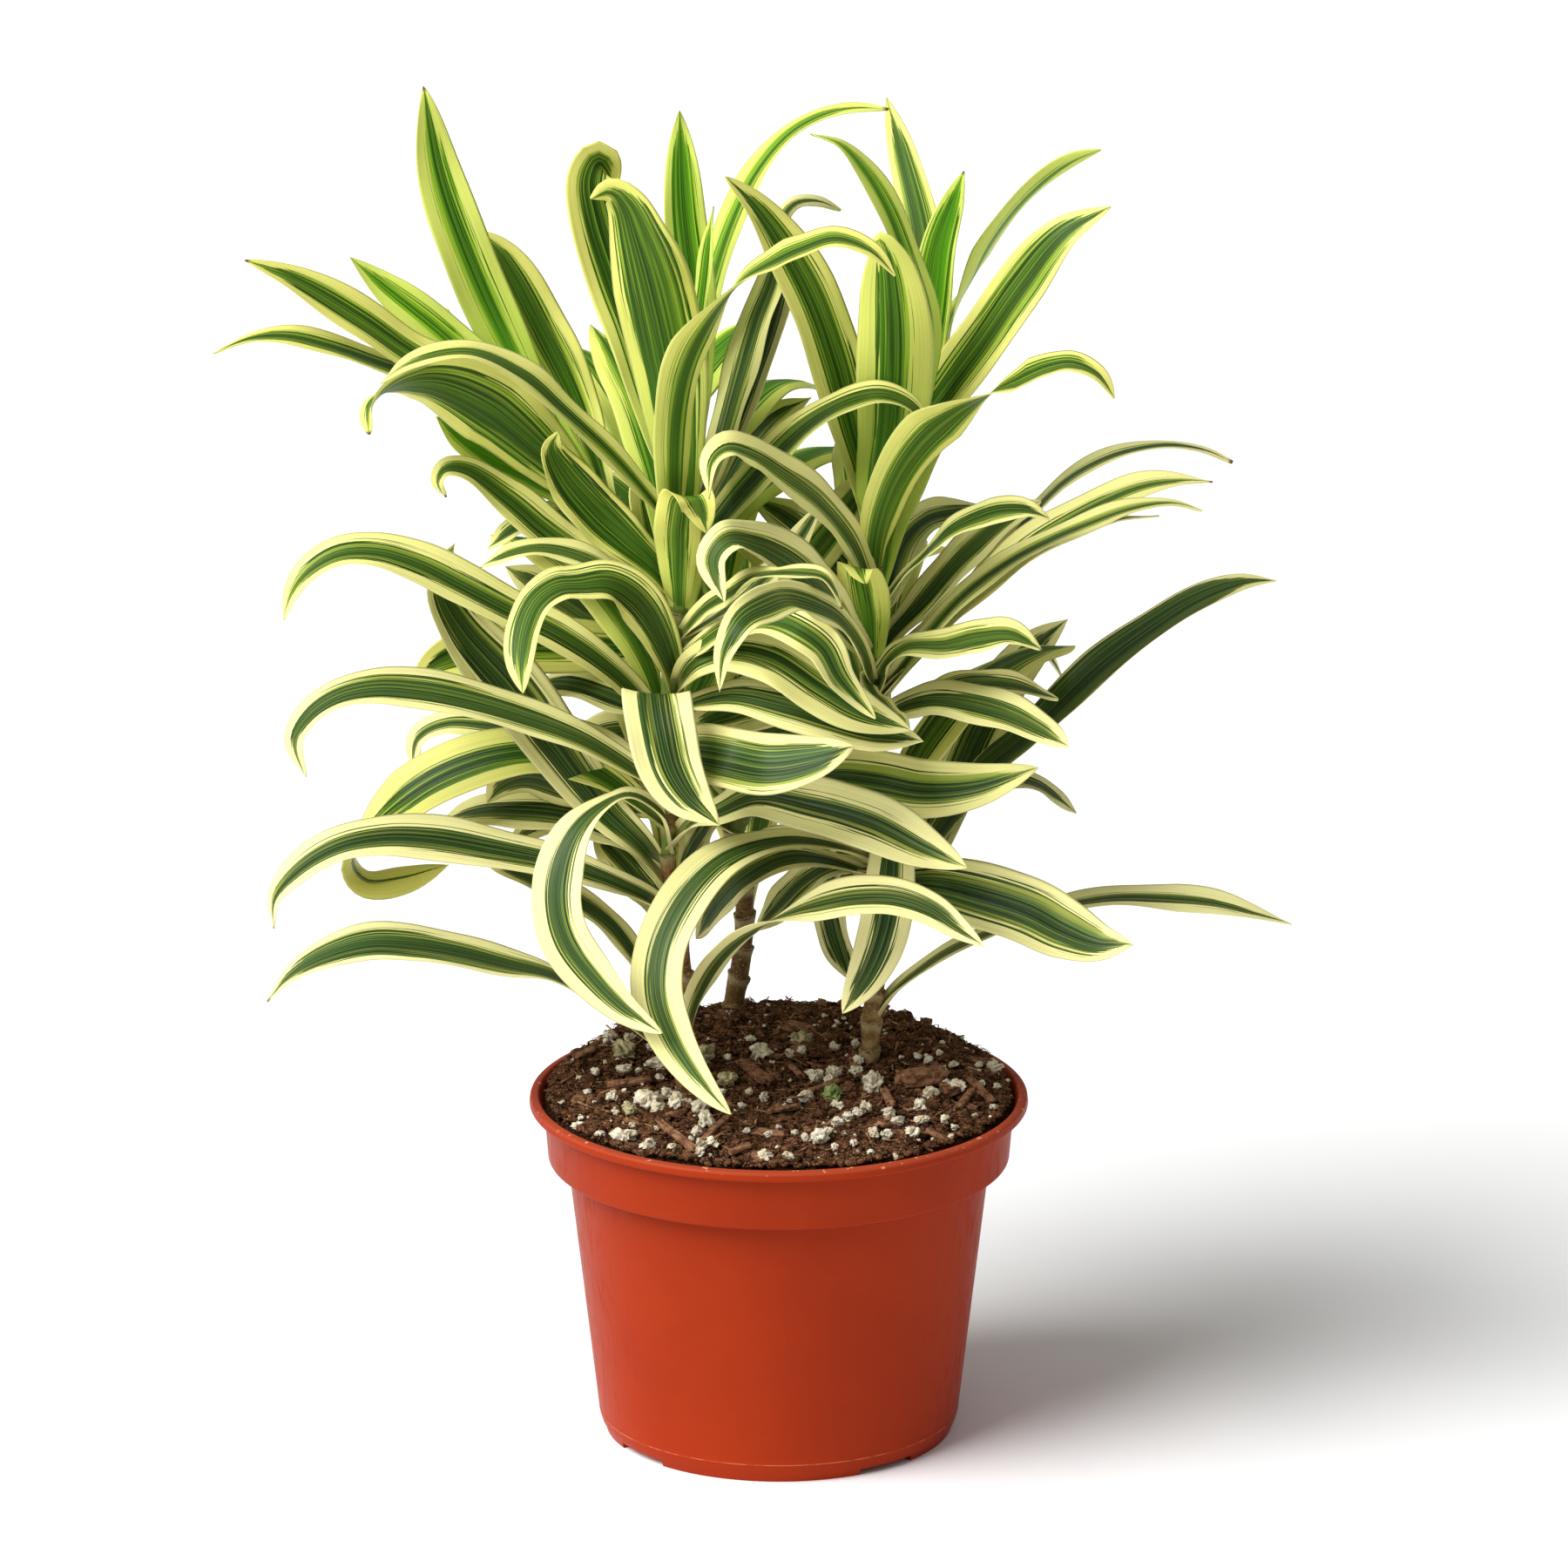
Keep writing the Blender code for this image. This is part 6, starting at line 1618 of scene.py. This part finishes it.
def make_lumps(kind, shape, breaking, material):
    bodies = []
    for number, (own_kind, x, y, size, turn, lean) in enumerate(lump_places()):
        if own_kind == kind:
            place = Matrix.Translation((x, y, soil_height(x, y) + size * 0.08))
            place = place @ Matrix.Rotation(turn, 4, "Z") @ Matrix.Rotation(lean, 4, "X")
            place = place @ Matrix.Diagonal((size * shape[0], size * shape[1], size * shape[2], 1))
            bodies.append((broken_body(kind, number, breaking), place))
    join_lumps("large_" + kind, bodies, material)


make_lumps("bark", (1.0, 0.45, 0.24), 0.16, BARK_CHIP)
make_lumps("clod", (0.50, 0.42, 0.40), 0.32, PEAT)

# %% [markdown]
# ## Perlite and chips where the photograph shows them
# White perlite stands out, so its grains are listed one by one: each row is a picture point and a size
# in millimetres. A line of sight through the picture point is followed back until it meets the
# soil. Chips and twigs are read the same way, by their two ends, with a width and a thickness.

# %% Places read from the picture
PERLITE = (
    (701, 1198, 3.9), (723, 1197, 3.5), (716, 1233, 3.1), (683, 1236, 2.3), (751, 1207, 3.9),
    (758, 1228, 4.6), (757, 1243, 2.3), (703, 1265, 3.1), (674, 1259, 1.9), (745, 1270, 6.2),
    (755, 1279, 3.9), (765, 1262, 3.5), (777, 1273, 4.6), (788, 1273, 3.1), (803, 1279, 4.6),
    (810, 1294, 5.8), (800, 1307, 3.5), (793, 1315, 1.9), (806, 1320, 3.9), (816, 1317, 3.1),
    (822, 1320, 1.9), (804, 1328, 2.7), (771, 1324, 2.7), (690, 1308, 2.7), (665, 1299, 3.1),
    (667, 1289, 1.9), (716, 1311, 4.6), (707, 1283, 1.9), (726, 1298, 2.3), (744, 1324, 4.6),
    (807, 1244, 4.6), (828, 1260, 2.7), (852, 1275, 1.9), (860, 1259, 1.9), (874, 1216, 5.0),
    (862, 1199, 2.3), (835, 1220, 2.3), (877, 1266, 3.1), (857, 1305, 2.3), (878, 1334, 3.5),
    (883, 1308, 2.3), (920, 1213, 3.3), (907, 1216, 2.5), (958, 1208, 2.9), (982, 1205, 2.9),
    (986, 1224, 2.5), (982, 1236, 3.3), (935, 1242, 3.7), (957, 1238, 3.7), (952, 1245, 2.5),
    (1003, 1252, 7.4), (924, 1266, 3.7), (960, 1276, 3.3), (994, 1278, 3.7), (985, 1283, 2.9),
    (974, 1289, 3.3), (961, 1295, 2.9), (1020, 1284, 4.1), (1030, 1293, 3.3), (1056, 1276, 3.7),
    (1068, 1262, 4.1), (1058, 1292, 3.3), (940, 1312, 5.0), (951, 1304, 2.5), (924, 1312, 2.1),
    (958, 1323, 2.1), (904, 1334, 3.3), (1003, 1307, 2.9), (1017, 1309, 2.9), (1048, 1307, 3.7),
    (1085, 1292, 2.9), (1096, 1300, 2.1), (1053, 1219, 2.1), (1065, 1224, 2.5), (1081, 1236, 2.9),
    (1095, 1228, 2.1), (1087, 1249, 2.5), (1099, 1255, 4.1), (1124, 1228, 2.1), (1140, 1233, 5.0),
    (1127, 1250, 2.1), (1144, 1253, 2.1), (1140, 1278, 2.1), (1048, 1328, 2.1), (1028, 1334, 2.1),
    (980, 1318, 2.1),
)
GREENED_PERLITE = (
    (954, 1264, 5.4),
)
AGED_GRAINS = ((716, 1212, 6.2), (723, 1279, 3.9), (804, 1221, 6.2), (835, 1246, 4.6), (920, 1200, 6.2))
CHIPS_SEEN = (
    (698, 1254, 747, 1247, 3.4, 1.6), (850, 1226, 882, 1250, 4.0, 1.6), (757, 1297, 797, 1328, 2.4, 1.6),
    (838, 1288, 807, 1316, 2.0, 1.2), (1032, 1250, 1084, 1244, 6.5, 4.0), (1014, 1258, 1024, 1276, 2.6, 1.2),
    (1118, 1256, 1099, 1281, 2.0, 1.2), (1112, 1245, 1140, 1273, 2.2, 1.2), (926, 1262, 966, 1247, 2.0, 1.2),
    (1006, 1300, 1022, 1292, 1.8, 1.0), (884, 1283, 918, 1278, 2.4, 1.2), (660, 1222, 684, 1210, 2.6, 1.2),
    (1064, 1305, 1090, 1318, 2.2, 1.2), (838, 1331, 862, 1322, 2.4, 1.2), (905, 1228, 921, 1244, 1.8, 1.0),
)


SIGHT_REACH = 72.0
SIGHT_STEP = 0.25


def on_soil(x, y):
    """Where the line of sight through a picture point first meets the soil."""
    depth = -SIGHT_REACH
    while depth < SIGHT_REACH:
        point = spot(x, y, depth)
        if point.z <= soil_height(point.x, point.y):
            return point
        depth += SIGHT_STEP
    raise ValueError(f"no soil behind picture point {x}, {y}")


def make_grains(name, grains, material):
    draw = random.Random(name)
    bodies = []
    for number, (x, y, size) in enumerate(grains):
        turn = Matrix.Rotation(draw.uniform(0, 2 * pi), 4, "Z")
        turn = turn @ Matrix.Rotation(draw.uniform(-0.5, 0.5), 4, "X")
        shape = (draw.uniform(0.42, 0.60), draw.uniform(0.32, 0.48), draw.uniform(0.32, 0.44))
        place = Matrix.Translation(on_soil(x, y) + Vector((0, 0, size * 0.12 + 1.5)))
        place = place @ turn @ Matrix.Diagonal((size * shape[0], size * shape[1], size * shape[2], 1))
        bodies.append((broken_body("clod", number + 60, 0.62), place))
    join_lumps(name, bodies, material)


def make_chips(name, chips, material):
    bodies = []
    for number, (x0, y0, x1, y1, width, thick) in enumerate(chips):
        start, stop = on_soil(x0, y0), on_soil(x1, y1)
        along = stop - start
        place = Matrix.Translation((start + stop) / 2 + Vector((0, 0, thick * 0.3 + 1.9)))
        place = place @ along.to_track_quat("X", "Z").to_matrix().to_4x4()
        place = place @ Matrix.Diagonal((along.length, width, thick, 1))
        bodies.append((broken_body("bark", number + 90, 0.13), place))
    join_lumps(name, bodies, material)


AGED_PERLITE = mottled("aged_perlite", 0.85, ((0.58, 0.50, 0.27), (0.24, 0.21, 0.09), (0.80, 0.74, 0.52)),
                       (520.0, 2400.0), 0.5, 0.8, 0.0006)
GREENED = mottled("greened_perlite", 0.85, ((0.34, 0.42, 0.12), (0.12, 0.20, 0.05), (0.62, 0.64, 0.34)),
                  (520.0, 2400.0), 0.5, 0.8, 0.0006)
make_grains("perlite_grains", PERLITE, PERLITE_GRAIN)
make_grains("greened_grains", GREENED_PERLITE, GREENED)
make_grains("aged_grains", AGED_GRAINS, AGED_PERLITE)
make_chips("bark_chips", CHIPS_SEEN, BARK_CHIP)

# %% [markdown]
# ## Fibres and twigs
# Peat holds thin roots and slivers. Each is a short bent curve swept with a three-sided profile,
# which costs few faces.

# %% The tree that scatters fibres
def fibre_tree():
    wire, source, out = growth_tree(
        "peat fibres",
        (("Density", "Float", 20000.0), ("Length", "Float", 0.009), ("Radius", "Float", 0.00014),
         ("Lift", "Float", 0.0012), ("Reach", "Float", 0.068), ("Seed", "Int", 5),
         ("Material", "Material", None)))
    given = source.outputs
    spread = wire.node("GeometryNodeDistributePointsOnFaces",
                       {"Mesh": given["Geometry"], "Selection": top_within(wire, given["Reach"]),
                        "Density": given["Density"], "Seed": given["Seed"]}).outputs[0]
    raised = wire.node("GeometryNodeSetPosition",
                       {"Geometry": spread, "Offset": wire.xyz(0.0, 0.0, given["Lift"])}).outputs[0]
    strand = wire.node("GeometryNodeCurveQuadraticBezier",
                       {"Resolution": 5, "Start": (-0.5, 0.0, -0.05), "Middle": (0.0, 0.35, 0.12),
                        "End": (0.5, 0.0, -0.05)}).outputs[0]
    turn = wire.node("FunctionNodeRandomValue", {0: (-0.2, -0.3, 0.0), 1: (0.2, 0.3, 2 * pi)},
                     data_type="FLOAT_VECTOR").outputs[0]
    size = wire.node("FunctionNodeRandomValue", {2: 0.4, 3: 1.0}).outputs[1]
    placed = wire.node("GeometryNodeInstanceOnPoints",
                       {"Points": raised, "Instance": strand, "Rotation": turn,
                        "Scale": wire.times(size, given["Length"])}).outputs[0]
    real = wire.node("GeometryNodeRealizeInstances", {0: placed}).outputs[0]
    place = wire.node("GeometryNodeInputPosition").outputs[0]
    push = wire.node("ShaderNodeTexNoise", {"Vector": place, "Scale": 260.0, "Detail": 1.0}).outputs["Color"]
    push = wire.vector("SCALE", wire.vector("SUBTRACT", push, (0.5, 0.5, 0.5)), scale=0.003)
    bent = wire.node("GeometryNodeSetPosition", {"Geometry": real, "Offset": push}).outputs[0]
    ring = wire.node("GeometryNodeCurvePrimitiveCircle", {"Resolution": 3, "Radius": given["Radius"]})
    swept = wire.node("GeometryNodeCurveToMesh", {"Curve": bent, "Profile Curve": ring.outputs[0],
                                                  "Fill Caps": True}).outputs[0]
    return close_tree(wire, swept, source, out)


FIBRE = mottled("dry_fibre", 0.80, ((0.17, 0.085, 0.040), (0.06, 0.027, 0.013), (0.42, 0.28, 0.15)),
                (150.0, 900.0), 0.3, 0.3, 0.0003)
scatter("peat_fibres", fibre_tree(),
        {"Density": 120000.0, "Length": 0.0052, "Radius": 0.00013, "Lift": 0.0022, "Reach": 0.0700,
         "Seed": 31}, FIBRE)

# %% [markdown]
# ## The turned pot
# The pot is one outline spun about its axis, so a lathe makes it. The outline has small beads at
# the lip, at the step under the band and at the foot, because those are what catch the light.
# Four gaps are then cut through the foot ring, and four holes through the floor.

# %% Outline and lathe
POT_SIDES = 180


def rounded(points, steps=5):
    """The outline with an arc for each marked corner.

    The centre lies where an arc of the corner's own radius would have it, but slerp gives vectors
    of length one, so each arc has a radius of 1 mm and stands a little proud of the corner."""
    made = []
    for index, point in enumerate(points):
        if len(point) == 2:
            made.append(point)
            continue
        here = Vector(point[:2])
        before = (Vector(points[index - 1][:2]) - here).normalized()
        after = (Vector(points[index + 1][:2]) - here).normalized()
        half = before.angle(after) / 2
        reach = point[2] / tan(half)
        centre = here + (before + after).normalized() * point[2] / sin(half)
        start, stop = here + before * reach - centre, here + after * reach - centre
        for step in range(steps + 1):
            way = start.slerp(stop, step / steps)
            made.append(tuple(centre + way))
    return made


def pot_outline():
    step = POT_TOP - BAND_HEIGHT
    lip_under = POT_TOP - LIP_THICK
    inner_foot = FLOOR_TOP + 3.0
    return rounded([
        (0, FLOOR_TOP),
        (wall_radius(FLOOR_TOP) - WALL - 2.5, FLOOR_TOP),
        (wall_radius(inner_foot) - WALL, inner_foot),
        (BODY_TOP_RADIUS - WALL, step + 0.4, 0.4),
        (BAND_FOOT_RADIUS - WALL, step + WALL, 0.5),
        (BAND_TOP_RADIUS - WALL, lip_under - 1.0),
        (LIP_RADIUS - 1.7, POT_TOP, 0.3),
        (LIP_RADIUS, POT_TOP, 0.55),
        (LIP_RADIUS, lip_under, 0.4),
        (BAND_TOP_RADIUS, lip_under - 0.4, 0.2),
        (BAND_FOOT_RADIUS, step, 0.7),
        (BODY_TOP_RADIUS + 0.3, step, 0.5),
        (wall_radius(PARTING_HEIGHT + 2.0), PARTING_HEIGHT + 2.0),
        (wall_radius(PARTING_HEIGHT + 0.25), PARTING_HEIGHT + 0.25),
        (BODY_FOOT_RADIUS + 0.07, PARTING_HEIGHT),
        (BODY_FOOT_RADIUS - 0.06, PARTING_HEIGHT - 0.25),
        (BODY_FOOT_RADIUS - 0.25, PARTING_HEIGHT - 1.3),
        (BODY_FOOT_RADIUS - 0.75, PARTING_HEIGHT - 2.9),
        (BODY_FOOT_RADIUS - 1.55, PARTING_HEIGHT - 4.5),
        (FOOT_RADIUS, 0, 0.5),
        (FOOT_RADIUS - FOOT_RING, 0, 0.4),
        (FOOT_RADIUS - FOOT_RING - 0.3, FLOOR_UNDERSIDE, 0.4),
        (0, FLOOR_UNDERSIDE),
    ])


# %% Gaps, holes and the finished pot
NOTCH_WIDTH = 20.0
NOTCH_HEIGHT = 2.0
NOTCH_START = radians(-52)
DRAIN_RADIUS = 4.0
DRAIN_PLACE = 40.0
DRAIN_DEPTH = 6.0
NOTCH_DEPTH = 12.0
SHARP_EDGE = radians(40)


def pot_cutters():
    """One mesh with the four gap cutters and the four drain cutters."""
    bm = bmesh.new()
    for quarter in range(4):
        angle = NOTCH_START + quarter * pi / 2
        out = Vector((sin(angle), -cos(angle), 0.0))
        size = Matrix.Diagonal((NOTCH_WIDTH * MM, NOTCH_DEPTH * MM, 2 * NOTCH_HEIGHT * MM, 1))
        place = Matrix.Translation(out * (FOOT_RADIUS + 1.0) * MM) @ Matrix.Rotation(angle, 4, "Z")
        bmesh.ops.create_cube(bm, size=1.0, matrix=place @ size)
        drain = Matrix.Translation(out * DRAIN_PLACE * MM + Vector((0, 0, DRAIN_DEPTH / 2 * MM)))
        bmesh.ops.create_cone(bm, cap_ends=True, segments=32, radius1=DRAIN_RADIUS * MM,
                              radius2=DRAIN_RADIUS * MM, depth=DRAIN_DEPTH * MM, matrix=drain)
    return object_of("cutters", bm, bpy.data.materials[0])


def make_pot(material):
    outline = pot_outline()
    rows = [[(outline[0][0], 0, outline[0][1])]]
    rows += [around(radius, lambda x, y, level=height: level, POT_SIDES) for radius, height in outline[1:-1]]
    rows.append([(outline[-1][0], 0, outline[-1][1])])
    bm = bmesh.new()
    polar_mesh(bm, rows)
    pot = object_of("turned_pot", bm, material)
    cutters = pot_cutters()
    modifier = pot.modifiers.new("gaps", "BOOLEAN")
    modifier.operation = "DIFFERENCE"
    modifier.object = cutters
    graph = bpy.context.evaluated_depsgraph_get()
    cut = bpy.data.meshes.new_from_object(pot.evaluated_get(graph), depsgraph=graph)
    pot.modifiers.clear()
    pot.data = cut
    bpy.data.objects.remove(cutters, do_unlink=True)
    cut.materials.clear()
    cut.materials.append(material)
    cut.shade_smooth()
    cut.set_sharp_from_angle(angle=SHARP_EDGE)
    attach(pot, "root")
    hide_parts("pot")
    print("pot faces:", len(cut.polygons))


make_pot(pot_material())

# %% [markdown]
# ## Floor and light
# A studio photograph of a plant has a white sweep and one very large soft lamp high on the left.
# A sun lamp with a wide angle lights like that, and evenly: the floor stays white to its far edge
# while the pot falls off from left to right. The white room and the floor fill the shadows.

# %% Floor
FLOOR_REACH = 6.0


def make_floor():
    bm = bmesh.new()
    bmesh.ops.create_grid(bm, x_segments=1, y_segments=1, size=FLOOR_REACH)
    material, _, shader, _ = begin("pale_floor", 0.9)
    shader.inputs["Base Color"].default_value = (0.97, 0.97, 0.97, 1.0)
    floor = object_of("floor", bm, material)


make_floor()

# %% Lamps and room light
ROOM_LIGHT = 0.30
KEY_STRENGTH = 4.25
KEY_SOFTNESS = radians(45)
KEY_FROM = Vector((-0.61, -0.36, 0.70))


def make_lights():
    data = bpy.data.lights.new("key", "SUN")
    data.energy = KEY_STRENGTH
    data.angle = KEY_SOFTNESS
    key = bpy.data.objects.new("key", data)
    bpy.context.scene.collection.objects.link(key)
    key.rotation_euler = KEY_FROM.to_track_quat("Z", "Y").to_euler()
    world = bpy.data.worlds.new("room")
    world.use_nodes = True
    world.node_tree.nodes["Background"].inputs[0].default_value = (1.0, 1.0, 1.0, 1.0)
    world.node_tree.nodes["Background"].inputs[1].default_value = ROOM_LIGHT
    bpy.context.scene.world = world
    bpy.context.scene.view_settings.view_transform = "Standard"


make_lights()
